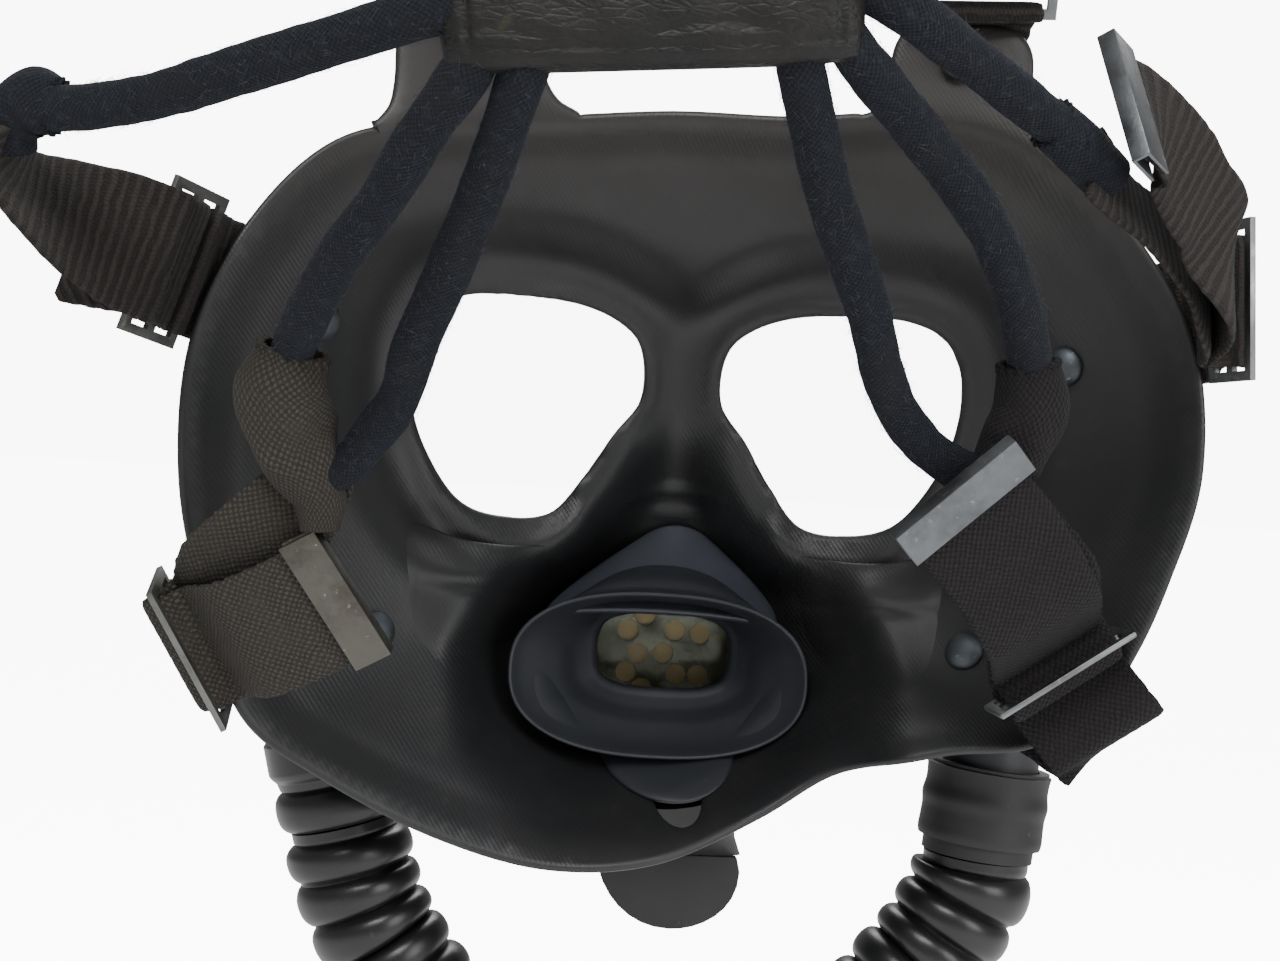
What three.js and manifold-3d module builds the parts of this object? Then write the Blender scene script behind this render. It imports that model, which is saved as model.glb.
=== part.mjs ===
// Full-face rubber respirator: facepiece with two eyepieces, speech diaphragm, chin outlet valve,
// two corrugated breathing tubes that join in a Y piece, and a six-point head harness.
// Millimetres, +Z up. +Y points out of the front of the face, -X is the wearer's left.
// Everything is laid out about the middle of the face opening, and the whole group is then moved
// so that its origin is the middle of the head pad, from which the mask hangs.

import * as THREE from 'three';
import Module from 'manifold-3d';
import { mergeVertices } from 'three/addons/utils/BufferGeometryUtils.js';
import { RoundedBoxGeometry } from 'three/addons/geometries/RoundedBoxGeometry.js';

const wasm = await Module();
wasm.setup();

// ---------------------------------------------------------------- driving dimensions

const GAP = 0.4; // play between touching pieces
const WALL = 2.6; // rubber wall of the facepiece
const DISH_DEPTH = 50; // face opening to the plain front of the facepiece
const DISH_POWER = 2.6;
const EYE_CENTRE = { x: 41, z: 17 };
const EYE_SLOPE = { side: 0.3, up: 0.12 }; // how the lens plane falls back outwards and upwards
const LENS_DEPTH = 50;
const LENS_THICK = 2;
const PORT_CENTRE = { x: 1, z: -48.5 }; // axis of the speech diaphragm
const WEB_WIDTH = 30;
const WEB_THICK = 1.8;
const CORD_RADIUS = 4.8;
const HOSE_RADIUS = 16.3;
const CUFF_INNER = 12.9;
const CUFF_OUTER = 16.2;
const ELBOW_OUTER = 12.5;
const ELBOW_INNER = 10.5;
const HOSE_DEPTH = 45; // the hoses hang in this plane
const Y_TOP = -286; // where the hoses meet the Y piece
const PAD_CENTRE = new THREE.Vector3(-23, -108, 104);
const PAD_SIZE = { width: 80, depth: 12, height: 57 };

// the edge of the face opening, as x, y, z, going round from the forehead over the wearer's right
const RIM = [
  [-8, 14, 88.5], [20, 12, 88.8], [46, 9, 91], [70, 4, 88.5], [86, 0, 78], [103, -4, 60],
  [115, -7, 38], [118, -8, 8], [112, -7, -17], [106, -5, -34], [97, -3, -50], [84, 0, -57.5],
  [64, 2, -60.5], [42, 5, -68], [22, 8, -81], [-4, 10, -92], [-30, 10, -94], [-56, 8, -87.5],
  [-84, 2, -73.5], [-101, -2, -61], [-111.5, -6, -34], [-118, -8, -5], [-117, -7, 27],
  [-106, -3, 54], [-88, 2, 74], [-62, 8, 81.5], [-34, 12, 85.5],
];

// the right eye opening, as x, z; the left one mirrors it
const EYE = [
  [9.5, 28], [12, 36], [18, 41], [28, 44.5], [42, 45.5], [56, 45], [66, 40.5], [71, 31],
  [71, 18], [67, 5], [57, -9], [46, -12.8], [33, -11], [24.5, -1], [17, 11], [10.5, 20],
];

// how far the nose and mouth bulge forwards, and how wide the bulge is, by height
const BULGE_DEPTH = [[-94, 0], [-88, 7], [-78, 20], [-65, 32], [-45, 36], [-20, 30], [0, 22],
  [20, 12], [40, 6], [60, 0]];
const BULGE_WIDTH = [[-88, 36], [-70, 52], [-45, 57], [-20, 42], [0, 24], [20, 12], [60, 10]];

// ---------------------------------------------------------------- materials

function material(color, roughness, metalness = 0) {
  return new THREE.MeshStandardMaterial({ color, roughness, metalness });
}

const rubber = material(0x1d1e20, 0.62);
const rubberGloss = material(0x16171a, 0.38);
const hoseRubber = material(0x121315, 0.4);
const cordKnit = material(0x1d222c, 0.95);
const webbing = material(0x3b3632, 0.95);
const webbingDark = material(0x2b2628, 0.95);
const steel = material(0x8f9291, 0.5, 0.85);
const rivetMetal = material(0x6d7379, 0.55, 0.7);
const leather = material(0x2a231d, 0.7);
const glass = material(0xeef2f2, 0.05);
const film = material(0xb8ab7d, 0.2);
const castMetal = material(0x4b4e50, 0.5, 0.7);

// ---------------------------------------------------------------- helpers: vectors and curves

const vec = (x, y, z) => new THREE.Vector3(x, y, z);
const fromList = (list) => list.map((p) => vec(...p));

function smoothstep(low, high, value) {
  const t = THREE.MathUtils.clamp((value - low) / (high - low), 0, 1);
  return t * t * (3 - 2 * t);
}

// a smooth value between rows of [position, value], in rising order
function between(rows, at) {
  if (at <= rows[0][0]) return rows[0][1];
  for (let i = 1; i < rows.length; i++) {
    const [low, a] = rows[i - 1];
    const [high, b] = rows[i];
    if (at <= high) return a + (b - a) * ((at - low) / (high - low));
  }
  return rows[rows.length - 1][1];
}

// a closed smooth outline about a centre, as a table of radius and depth by angle
function polarOutline(points, centreX, centreZ) {
  const curve = new THREE.CatmullRomCurve3(points, true, 'centripetal');
  const table = curve.getPoints(720).slice(0, -1).map((p) => ({
    angle: Math.atan2(p.z - centreZ, p.x - centreX),
    radius: Math.hypot(p.x - centreX, p.z - centreZ),
    depth: p.y,
  }));
  table.sort((a, b) => a.angle - b.angle);
  const last = table[table.length - 1];
  const first = table[0];
  table.unshift({ ...last, angle: last.angle - 2 * Math.PI });
  table.push({ ...first, angle: first.angle + 2 * Math.PI });
  return (angle) => {
    let low = 0;
    let high = table.length - 1;
    while (high - low > 1) {
      const middle = (low + high) >> 1;
      if (table[middle].angle <= angle) low = middle;
      else high = middle;
    }
    const a = table[low];
    const b = table[high];
    const t = (angle - a.angle) / (b.angle - a.angle);
    return {
      radius: a.radius + (b.radius - a.radius) * t,
      depth: a.depth + (b.depth - a.depth) * t,
    };
  };
}

const rimAt = polarOutline(fromList(RIM), 0, 0);
const eyeAt = polarOutline(EYE.map(([x, z]) => vec(x, 0, z)), EYE_CENTRE.x, EYE_CENTRE.z);

// ---------------------------------------------------------------- helpers: solids

// skins rings of equally many points; a looped skin joins the last ring to the first,
// and an open one is closed by a flat fan at each end
function skin(rings, looped = false) {
  const count = rings[0].length;
  const positions = rings.flat().flatMap((p) => [p.x, p.y, p.z]);
  const indices = [];
  const bands = looped ? rings.length : rings.length - 1;
  for (let i = 0; i < bands; i++) {
    const near = i * count;
    const far = ((i + 1) % rings.length) * count;
    for (let j = 0; j < count; j++) {
      const next = (j + 1) % count;
      indices.push(near + j, far + j, far + next);
      indices.push(near + j, far + next, near + next);
    }
  }
  if (!looped) {
    for (const [ring, start, turned] of [
      [rings[0], 0, false],
      [rings[rings.length - 1], (rings.length - 1) * count, true],
    ]) {
      const hub = positions.length / 3;
      const middle = ring.reduce((sum, p) => sum.add(p), vec(0, 0, 0)).divideScalar(count);
      positions.push(middle.x, middle.y, middle.z);
      for (let j = 0; j < count; j++) {
        const next = (j + 1) % count;
        if (turned) indices.push(hub, start + next, start + j);
        else indices.push(hub, start + j, start + next);
      }
    }
  }
  return facingOut(bufferGeometry(positions, indices));
}

function bufferGeometry(positions, indices) {
  const geometry = new THREE.BufferGeometry();
  geometry.setAttribute('position', new THREE.Float32BufferAttribute(positions, 3));
  geometry.setIndex(indices);
  return geometry;
}

function facingOut(geometry) {
  const p = geometry.getAttribute('position');
  const index = geometry.getIndex().array;
  const [a, b, c] = [vec(0, 0, 0), vec(0, 0, 0), vec(0, 0, 0)];
  let volume = 0;
  for (let i = 0; i < index.length; i += 3) {
    a.fromBufferAttribute(p, index[i]);
    b.fromBufferAttribute(p, index[i + 1]);
    c.fromBufferAttribute(p, index[i + 2]);
    volume += a.dot(b.cross(c));
  }
  if (volume < 0) {
    const turned = Array.from(index);
    for (let i = 0; i < turned.length; i += 3) {
      [turned[i + 1], turned[i + 2]] = [turned[i + 2], turned[i + 1]];
    }
    geometry.setIndex(turned);
  }
  return geometry;
}

// shared corners become one vertex: each coordinate is rounded to a micrometre, and equal ones merge
function merged(geometry) {
  const bare = geometry.clone();
  bare.deleteAttribute('normal');
  bare.deleteAttribute('uv');
  const p = bare.getAttribute('position');
  for (let i = 0; i < p.array.length; i++) p.array[i] = Math.round(p.array[i] * 1000) / 1000;
  return mergeVertices(bare, 1e-4);
}

function toSolid(geometry) {
  const bare = merged(geometry);
  return new wasm.Manifold(new wasm.Mesh({
    numProp: 3,
    vertProperties: Float32Array.from(bare.getAttribute('position').array),
    triVerts: Uint32Array.from(bare.getIndex().array),
  }));
}

function fromSolid(solid) {
  const mesh = solid.getMesh();
  return bufferGeometry(Array.from(mesh.vertProperties), Array.from(mesh.triVerts));
}

// the solid made fatter by the gap, as copies of it moved a little each way
function fattened(solid, gap) {
  let fat = solid;
  for (const move of [[gap, 0, 0], [-gap, 0, 0], [0, gap, 0], [0, -gap, 0], [0, 0, gap], [0, 0, -gap]]) {
    fat = fat.add(solid.translate(move));
  }
  return fat;
}

// the biggest of the bodies that a cut leaves
function mainBody(solid) {
  const bodies = solid.decompose().sort((a, b) => b.volume() - a.volume());
  return bodies[0];
}

function clearOf(geometry, neighbours) {
  let solid = toSolid(geometry);
  for (const neighbour of neighbours) solid = solid.subtract(fattened(toSolid(neighbour), GAP));
  return fromSolid(mainBody(solid));
}

// a rod of round section along a curve through the points
function rod(points, radius, sides, steps) {
  const section = new THREE.Shape();
  section.absarc(0, 0, radius, 0, 2 * Math.PI);
  const outline = new THREE.Shape(section.getSpacedPoints(sides).slice(0, -1));
  const path = new THREE.CatmullRomCurve3(points, false, 'centripetal');
  return merged(new THREE.ExtrudeGeometry(outline, { steps, extrudePath: path, bevelEnabled: false }));
}

// a band of webbing: its middle line, and the way its width points at each of those points
function band(points, across, width = WEB_WIDTH, thick = WEB_THICK, stepsEach = 3, widths = null) {
  const middle = new THREE.CatmullRomCurve3(points, false, 'catmullrom', 0.5);
  const side = new THREE.CatmullRomCurve3(across, false, 'catmullrom', 0.5);
  const steps = (points.length - 1) * stepsEach;
  const rings = [];
  for (let i = 0; i <= steps; i++) {
    const t = i / steps;
    const centre = middle.getPoint(t);
    const along = middle.getTangent(t);
    const w = side.getPoint(t);
    w.addScaledVector(along, -w.dot(along)).normalize();
    const up = vec(0, 0, 0).crossVectors(along, w);
    const here = widths ? between(widths, t) : width;
    rings.push([[-1, -1], [1, -1], [1, 1], [-1, 1]].map(([a, b]) => centre.clone()
      .addScaledVector(w, (a * here) / 2)
      .addScaledVector(up, (b * thick) / 2)));
  }
  return skin(rings);
}

// a ring of points round a centre, in the plane of u and v
function roundRing(centre, u, v, radius, sides) {
  return Array.from({ length: sides }, (_, i) => {
    const angle = (2 * Math.PI * i) / sides;
    return centre.clone()
      .addScaledVector(u, radius * Math.cos(angle))
      .addScaledVector(v, radius * Math.sin(angle));
  });
}

// a straight turned piece about an axis, from rows of [distance along the axis, radius];
// a closed profile gives a ring, and one that starts and ends at radius 0 gives a solid
function turned(start, axis, rows, sides = 24) {
  const profile = rows.map(([along, radius]) => new THREE.Vector2(radius, along));
  const closed = rows[0][1] !== 0;
  if (closed) profile.push(profile[0].clone());
  const geometry = new THREE.LatheGeometry(profile, sides);
  const turn = new THREE.Quaternion().setFromUnitVectors(vec(0, 1, 0), axis.clone().normalize());
  geometry.applyQuaternion(turn);
  geometry.translate(start.x, start.y, start.z);
  return facingOut(withoutFlats(merged(geometry)));
}

// drops the triangles of no area that a lathe leaves on its axis
function withoutFlats(geometry) {
  const index = Array.from(geometry.getIndex().array);
  const kept = [];
  for (let i = 0; i < index.length; i += 3) {
    const [a, b, c] = index.slice(i, i + 3);
    if (a !== b && b !== c && c !== a) kept.push(a, b, c);
  }
  geometry.setIndex(kept);
  return geometry;
}

// a flat shape drawn in x and z, given a thickness along +y from the depth y
function slab(shape, y, thick, curveSegments = 6) {
  const geometry = new THREE.ExtrudeGeometry(shape, { depth: thick, bevelEnabled: false, curveSegments });
  geometry.rotateX(Math.PI / 2);
  geometry.translate(0, y + thick, 0);
  return merged(geometry);
}

function circleShape(x, z, radius, sides, hole = false) {
  const points = Array.from({ length: sides }, (_, i) => {
    const angle = (2 * Math.PI * i) / sides;
    return new THREE.Vector2(x + radius * Math.cos(angle), z + radius * Math.sin(angle));
  });
  return hole ? new THREE.Path(points) : new THREE.Shape(points);
}

const root = new THREE.Group();
const face = new THREE.Group();
face.position.copy(PAD_CENTRE).negate();
root.add(face);

function add(name, geometry, look) {
  const mesh = new THREE.Mesh(geometry, look);
  mesh.name = name;
  face.add(mesh);
  return mesh;
}

// ---------------------------------------------------------------- facepiece

function lensPlane(x, z, side) {
  return LENS_DEPTH - EYE_SLOPE.side * (x * side - EYE_CENTRE.x) - EYE_SLOPE.up * (z - EYE_CENTRE.z);
}

// how far past the edge of an eye opening a point lies
function pastEye(x, z, side) {
  const dx = x * side - EYE_CENTRE.x;
  const dz = z - EYE_CENTRE.z;
  return Math.hypot(dx, dz) - eyeAt(Math.atan2(dz, dx)).radius;
}

// depth of the facepiece's inner face
function innerDepth(x, z) {
  const rim = rimAt(Math.atan2(z, x));
  const s = Math.min(1, Math.hypot(x, z) / rim.radius);
  let y = rim.depth + (DISH_DEPTH - rim.depth) * (1 - s ** DISH_POWER);
  const bulge = 1 - Math.abs(x / between(BULGE_WIDTH, z)) ** 3;
  y += between(BULGE_DEPTH, z) * Math.max(0, bulge);
  for (const side of [-1, 1]) {
    const flat = 1 - smoothstep(7, 20, pastEye(x, z, side));
    y += (lensPlane(x, z, side) - y) * flat;
  }
  return y;
}

// a point at a distance outside the inner face, and the way out there
function onFace(x, z, out) {
  const inset = 0.985;
  const step = 0.5;
  const dx = (innerDepth(x * inset + step, z * inset) - innerDepth(x * inset - step, z * inset)) / (2 * step);
  const dz = (innerDepth(x * inset, z * inset + step) - innerDepth(x * inset, z * inset - step)) / (2 * step);
  const normal = vec(-dx, 1, -dz).normalize();
  const point = vec(x, innerDepth(x, z), z).addScaledVector(normal, out);
  return { point, normal };
}

const SPOKES = 60;
const RING_SHARES = [0.14, 0.28, 0.4, 0.52, 0.63, 0.73, 0.82, 0.89, 0.95, 1];

function faceSheet(out) {
  return RING_SHARES.map((share) => Array.from({ length: SPOKES }, (_, i) => {
    const angle = (2 * Math.PI * i) / SPOKES - Math.PI;
    const radius = rimAt(angle).radius * share;
    return onFace(radius * Math.cos(angle), radius * Math.sin(angle), out).point;
  }));
}

function faceShell() {
  return skin([...faceSheet(0), ...faceSheet(WALL).reverse()]);
}

// all the space inside the facepiece's outer face, for seating things on it
function faceVolume(out) {
  const outer = faceSheet(out).reverse();
  const back = outer[0].map((p) => vec(p.x, -60, p.z));
  return skin([back, ...outer]);
}

// the edge of an eye opening, grown by a distance, going round anticlockwise
function eyeOutline(side, grow, steps = 28) {
  const outline = Array.from({ length: steps }, (_, i) => {
    const angle = (2 * Math.PI * i) / steps - Math.PI;
    const radius = eyeAt(angle).radius + grow;
    const x = side * (EYE_CENTRE.x + radius * Math.cos(angle));
    return new THREE.Vector2(x, EYE_CENTRE.z + radius * Math.sin(angle));
  });
  return side < 0 ? outline.reverse() : outline;
}

// slides a flat piece that was made at depth 0 onto the sloping plane of a lens
function ontoLensPlane(geometry, side) {
  const p = geometry.getAttribute('position');
  for (let i = 0; i < p.count; i++) {
    p.setY(i, p.getY(i) + lensPlane(p.getX(i), p.getZ(i), side));
  }
  return geometry;
}

const RIVETS = {
  temple_left: { x: -92, z: 33.7 },
  temple_right: { x: 92, z: 33.7 },
  cheek_left: { x: -75, z: -42 },
  cheek_right: { x: 72.6, z: -38.9 },
};
const SEAT_GROW = 7;
const FOREHEAD = { x: 60, rivetZ: 106, top: 112, width: 31 };
const RIVET_HOLE = 2.1;

// a moulded ear at the forehead, running up out of the rim
function foreheadEar(side) {
  const path = fromList([
    [side * 54, 20, 80], [side * 55.5, 12, 88], [side * 58, 8.5, 97], [side * FOREHEAD.x, 8, FOREHEAD.top],
  ]);
  const across = path.map(() => vec(1, 0, side * -0.08));
  return band(path, across, FOREHEAD.width, WALL + 0.2, 4);
}

function holeAt(point, axis, radius, reach, sides = 10) {
  const start = point.clone().addScaledVector(axis, -reach);
  return turned(start, axis, [[0, 0], [0, radius], [2 * reach, radius], [2 * reach, 0]], sides);
}

const INLET = { x: 50, z: -37 };
const inletFrame = (side) => onFace(side * INLET.x, INLET.z, 0);
const OUTLET = { x: 3, z: -79 };

function facepiece() {
  let solid = toSolid(faceShell());
  for (const side of [-1, 1]) {
    const level = (grow, low, thick) => toSolid(
      ontoLensPlane(slab(new THREE.Shape(eyeOutline(side, grow)), low, thick), side),
    );
    solid = solid.add(level(SEAT_GROW, 0, WALL)); // a flat seat for the eyepiece
    solid = solid.subtract(level(SEAT_GROW, WALL, 15));
    solid = solid.subtract(level(0, -12, 24));
    const inlet = inletFrame(side);
    solid = solid.subtract(toSolid(holeAt(inlet.point, inlet.normal, ELBOW_INNER, 9, 14)));
    solid = solid.add(toSolid(foreheadEar(side)));
    const ear = vec(side * (FOREHEAD.x - 1), 8, FOREHEAD.rivetZ);
    solid = solid.subtract(toSolid(holeAt(ear, vec(0, 1, 0), RIVET_HOLE, 6)));
  }
  for (const { x, z } of Object.values(RIVETS)) {
    const at = onFace(x, z, 0);
    solid = solid.subtract(toSolid(holeAt(at.point, at.normal, RIVET_HOLE, 6)));
  }
  const port = slab(circleShape(PORT_CENTRE.x, PORT_CENTRE.z, 20, 24), 50, 50);
  solid = solid.subtract(toSolid(port));
  const outlet = onFace(OUTLET.x, OUTLET.z, 0);
  solid = solid.subtract(toSolid(holeAt(outlet.point, outlet.normal, 7.5, 8, 14)));
  return fromSolid(solid);
}

const facepieceGeometry = facepiece();
add('facepiece_body', facepieceGeometry, rubber);
const insideFace = toSolid(faceVolume(WALL + GAP));
const fatShell = toSolid(skin([...faceSheet(-GAP), ...faceSheet(WALL + GAP).reverse()]));

function seated(geometry) {
  return fromSolid(toSolid(geometry).subtract(insideFace));
}

function offTheShell(geometry) {
  return fromSolid(mainBody(toSolid(geometry).subtract(fatShell)));
}

// ---------------------------------------------------------------- eyepieces

const LENS_GROW = 3.2;
const RIM_GROW = 6.2;
const LIP_GROW = 1.2;
const LENS_SEAT = WALL + GAP;

for (const [side, name] of [[-1, 'left'], [1, 'right']]) {
  const lens = slab(new THREE.Shape(eyeOutline(side, LENS_GROW)), LENS_SEAT, LENS_THICK);
  add(`lens_${name}`, ontoLensPlane(lens, side), glass);

  const wallShape = new THREE.Shape(eyeOutline(side, RIM_GROW));
  wallShape.holes.push(new THREE.Path(eyeOutline(side, LENS_GROW + GAP)));
  const lipShape = new THREE.Shape(eyeOutline(side, RIM_GROW));
  lipShape.holes.push(new THREE.Path(eyeOutline(side, LIP_GROW)));
  const wall = toSolid(slab(wallShape, LENS_SEAT, LENS_THICK + 0.6));
  const lip = toSolid(slab(lipShape, LENS_SEAT + LENS_THICK + GAP, 1.6));
  add(`eyepiece_rim_${name}`, ontoLensPlane(fromSolid(wall.add(lip)), side), castMetal);
}

// ---------------------------------------------------------------- mouth cup and speech diaphragm

const LIP = { x: -2.7, y: 46, z: -51, wide: 38.6, high: 21 };
const WINDOW = { x: -0.5, y: 66, z: -46.4, wide: 17.6, high: 9.8 };

// an oval of any squareness, facing along y
function oval(x, y, z, wide, high, squareness, sides = 28) {
  return Array.from({ length: sides }, (_, i) => {
    const angle = (2 * Math.PI * i) / sides;
    const c = Math.cos(angle);
    const s = Math.sin(angle);
    const px = Math.sign(c) * Math.abs(c) ** (2 / squareness) * wide;
    const pz = Math.sign(s) * Math.abs(s) ** (2 / squareness) * high;
    return vec(x + px, y, z + pz);
  });
}

// a ring round the port, lying against the inner face
function portRing(radius, sides = 28) {
  return Array.from({ length: sides }, (_, i) => {
    const angle = (2 * Math.PI * i) / sides;
    const x = PORT_CENTRE.x + radius * Math.cos(angle);
    const z = PORT_CENTRE.z + radius * Math.sin(angle);
    return vec(x, innerDepth(x, z) - GAP, z);
  });
}

function mouthCup() {
  const outer = [
    oval(LIP.x, LIP.y, LIP.z, LIP.wide + 0.6, LIP.high + 0.6, 2.3),
    oval(LIP.x, LIP.y + 3, LIP.z + 0.6, LIP.wide - 1.5, LIP.high - 0.2, 2.3),
    oval(-1.6, 56, -47, 30, 21, 2.2),
    oval(-0.8, 64, -44.5, 25.5, 20.5, 2.1),
    portRing(23),
  ];
  const inner = [
    portRing(20.5),
    oval(WINDOW.x, 70, WINDOW.z, WINDOW.wide, WINDOW.high, 3.4),
    oval(WINDOW.x, WINDOW.y, WINDOW.z, WINDOW.wide, WINDOW.high, 3.4),
    oval(WINDOW.x, WINDOW.y - 1, WINDOW.z, WINDOW.wide + 1.2, WINDOW.high + 1.2, 3.2),
    oval(-1.4, 57, -49, 28, 15.5, 2.5),
    oval(LIP.x, LIP.y + 2, LIP.z, LIP.wide - 1.6, LIP.high - 1.4, 2.3),
    oval(LIP.x, LIP.y, LIP.z, LIP.wide - 0.8, LIP.high - 0.8, 2.3),
  ];
  return skin([...outer, ...inner], true);
}
add('mouth_cup', offTheShell(mouthCup()), rubberGloss);

const HOUSING = { radius: 29, bore: 20, seat: 24.6, seatDepth: 86, front: 98 };
const outwards = vec(0, 1, 0);
const portAxis = (y) => vec(PORT_CENTRE.x, y, PORT_CENTRE.z);

const housing = turned(portAxis(0), outwards, [
  [56, HOUSING.bore], [HOUSING.seatDepth, HOUSING.bore], [HOUSING.seatDepth, HOUSING.seat],
  [HOUSING.front, HOUSING.seat], [HOUSING.front, HOUSING.radius - 1], [HOUSING.front - 1, HOUSING.radius],
  [56, HOUSING.radius],
], 24);
add('diaphragm_housing', seated(housing), castMetal);

const diaphragm = turned(portAxis(HOUSING.seatDepth + GAP), outwards, [
  [0, 0], [0, 24.2], [0.5, 24.2], [0.5, 0],
], 24);
add('speech_diaphragm', diaphragm, film);

// holes of the guard plate, as distance from the middle and angle in degrees
const GUARD_HOLES = [[0, 0], [7, 64], [7, 184], [7, 304],
  [11.6, 30], [11.6, 118], [11.6, 150], [11.6, 210], [11.6, 242], [11.6, 330]];
const guardShape = circleShape(PORT_CENTRE.x, PORT_CENTRE.z, 24.2, 24);
for (const [reach, degrees] of GUARD_HOLES) {
  const angle = THREE.MathUtils.degToRad(degrees);
  const x = PORT_CENTRE.x + reach * Math.cos(angle);
  const z = PORT_CENTRE.z + reach * Math.sin(angle);
  guardShape.holes.push(circleShape(x, z, 3, 10, true));
}
add('guard_plate', slab(guardShape, HOUSING.seatDepth + 2.2, 1), film);

const COVER_HOLES = 12;
const coverShape = circleShape(PORT_CENTRE.x, PORT_CENTRE.z, HOUSING.radius, 24);
for (let i = 0; i < COVER_HOLES; i++) {
  const angle = (2 * Math.PI * i) / COVER_HOLES;
  const x = PORT_CENTRE.x + 15 * Math.cos(angle);
  const z = PORT_CENTRE.z + 15 * Math.sin(angle);
  coverShape.holes.push(circleShape(x, z, 2.6, 8, true));
}
add('diaphragm_cover', slab(coverShape, HOUSING.front + GAP, 2), castMetal);

// ---------------------------------------------------------------- chin outlet valve

function outletNeck() {
  const stations = [
    { at: vec(3, 40, -74), u: vec(1, 0, 0), v: vec(0, 0.85, 0.53), wide: 15, high: 10 },
    { at: vec(3, 50, -86), u: vec(1, 0, 0), v: vec(0, 0.85, 0.53), wide: 16, high: 9.5 },
    { at: vec(3, 57, -94), u: vec(1, 0, 0), v: vec(0, 0.95, 0.3), wide: 18, high: 7 },
    { at: vec(3, 60, -99), u: vec(1, 0, 0), v: vec(0, 1, 0), wide: 20, high: 4.2 },
  ];
  const ring = ({ at, u, v, wide, high }, thinner) => Array.from({ length: 20 }, (_, i) => {
    const angle = (2 * Math.PI * i) / 20;
    return at.clone()
      .addScaledVector(u, (wide - thinner) * Math.cos(angle))
      .addScaledVector(v, (high - thinner) * Math.sin(angle));
  });
  const outer = stations.map((s) => ring(s, 0));
  const inner = stations.map((s) => ring(s, 2)).reverse();
  return skin([...outer, ...inner], true);
}
add('outlet_neck', seated(outletNeck()), rubber);

const FLAP = { x: 3, top: -99.5, length: 20, half: 20, thick: 1.2, y: 60 };

// a tongue of rubber, straight at the top and round at the bottom
function flapShape() {
  const shape = new THREE.Shape();
  shape.moveTo(FLAP.x - FLAP.half + 1, FLAP.top);
  shape.lineTo(FLAP.x + FLAP.half - 1, FLAP.top);
  shape.lineTo(FLAP.x + FLAP.half, FLAP.top - 4);
  shape.bezierCurveTo(
    FLAP.x + FLAP.half, FLAP.top - 15, FLAP.x + 10, FLAP.top - FLAP.length,
    FLAP.x + 2, FLAP.top - FLAP.length,
  );
  shape.bezierCurveTo(
    FLAP.x - 9, FLAP.top - FLAP.length, FLAP.x - 17, FLAP.top - 12,
    FLAP.x - FLAP.half + 1, FLAP.top,
  );
  return shape;
}
add('outlet_flap_rear', slab(flapShape(), FLAP.y - 0.2 - FLAP.thick, FLAP.thick, 8), rubber);
add('outlet_flap_front', slab(flapShape(), FLAP.y + 0.2, FLAP.thick, 8), rubber);

// ---------------------------------------------------------------- inlet elbows, valves and hoses

const HOSES = {
  left: {
    side: -1,
    cuffTop: [-88.2, HOSE_DEPTH, -68.5],
    cuffEnd: [-81.6, HOSE_DEPTH, -92.5],
    path: [[-77.6, -107], [-71.6, -120], [-62.5, -132.5], [-53, -146], [-46, -162], [-41, -182], [-36, -205],
      [-29.5, -230], [-23.5, -252], [-21, -270]],
  },
  right: {
    side: 1,
    cuffTop: [85.6, HOSE_DEPTH, -68.5],
    cuffEnd: [83.2, HOSE_DEPTH, -93],
    path: [[79.6, -106], [72.4, -118.5], [62.5, -131], [53, -145], [46, -161], [41, -181], [36, -204],
      [29.5, -229], [23.5, -251], [21, -270]],
  },
};

// the valve's seat in the elbow, as [distance before its end, inner radius]
const SEAT = [[16, ELBOW_INNER], [15.9, 8], [12, 8], [11, ELBOW_INNER]];
const DISC = { before: 17.2, radius: 9.7, thick: 0.9 };

function elbow(hose) {
  const inlet = inletFrame(hose.side);
  const top = vec(...hose.cuffTop);
  const end = vec(...hose.cuffEnd);
  const down = end.clone().sub(top).normalize();
  const bend = new THREE.CubicBezierCurve3(
    inlet.point.clone().addScaledVector(inlet.normal, -3),
    inlet.point.clone().addScaledVector(inlet.normal, 36),
    top.clone().addScaledVector(down, -26),
    top,
  );
  const steps = 10;
  const sides = 14;
  const frames = bend.computeFrenetFrames(steps, false);
  const outer = [];
  const inner = [];
  const ringAt = (centre, i, radius) => roundRing(centre, frames.normals[i], frames.binormals[i], radius, sides);
  for (let i = 0; i <= steps; i++) {
    const centre = bend.getPointAt(i / steps);
    outer.push(ringAt(centre, i, ELBOW_OUTER));
    inner.push(ringAt(centre, i, ELBOW_INNER));
  }
  for (const [before, radius] of SEAT) {
    inner.push(ringAt(end.clone().addScaledVector(down, -before), steps, radius));
  }
  outer.push(ringAt(end, steps, ELBOW_OUTER));
  inner.push(ringAt(end, steps, ELBOW_INNER));
  return skin([...outer, ...inner.reverse()], true);
}

function hosePath(hose) {
  const end = vec(...hose.cuffEnd);
  const down = end.clone().sub(vec(...hose.cuffTop)).normalize();
  return [
    end.clone().addScaledVector(down, GAP),
    end.clone().addScaledVector(down, 5),
    ...hose.path.map(([x, z]) => vec(x, HOSE_DEPTH, z)),
    vec(hose.side * 21, HOSE_DEPTH, Y_TOP + 6),
    vec(hose.side * 21, HOSE_DEPTH, Y_TOP + GAP),
  ];
}

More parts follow.
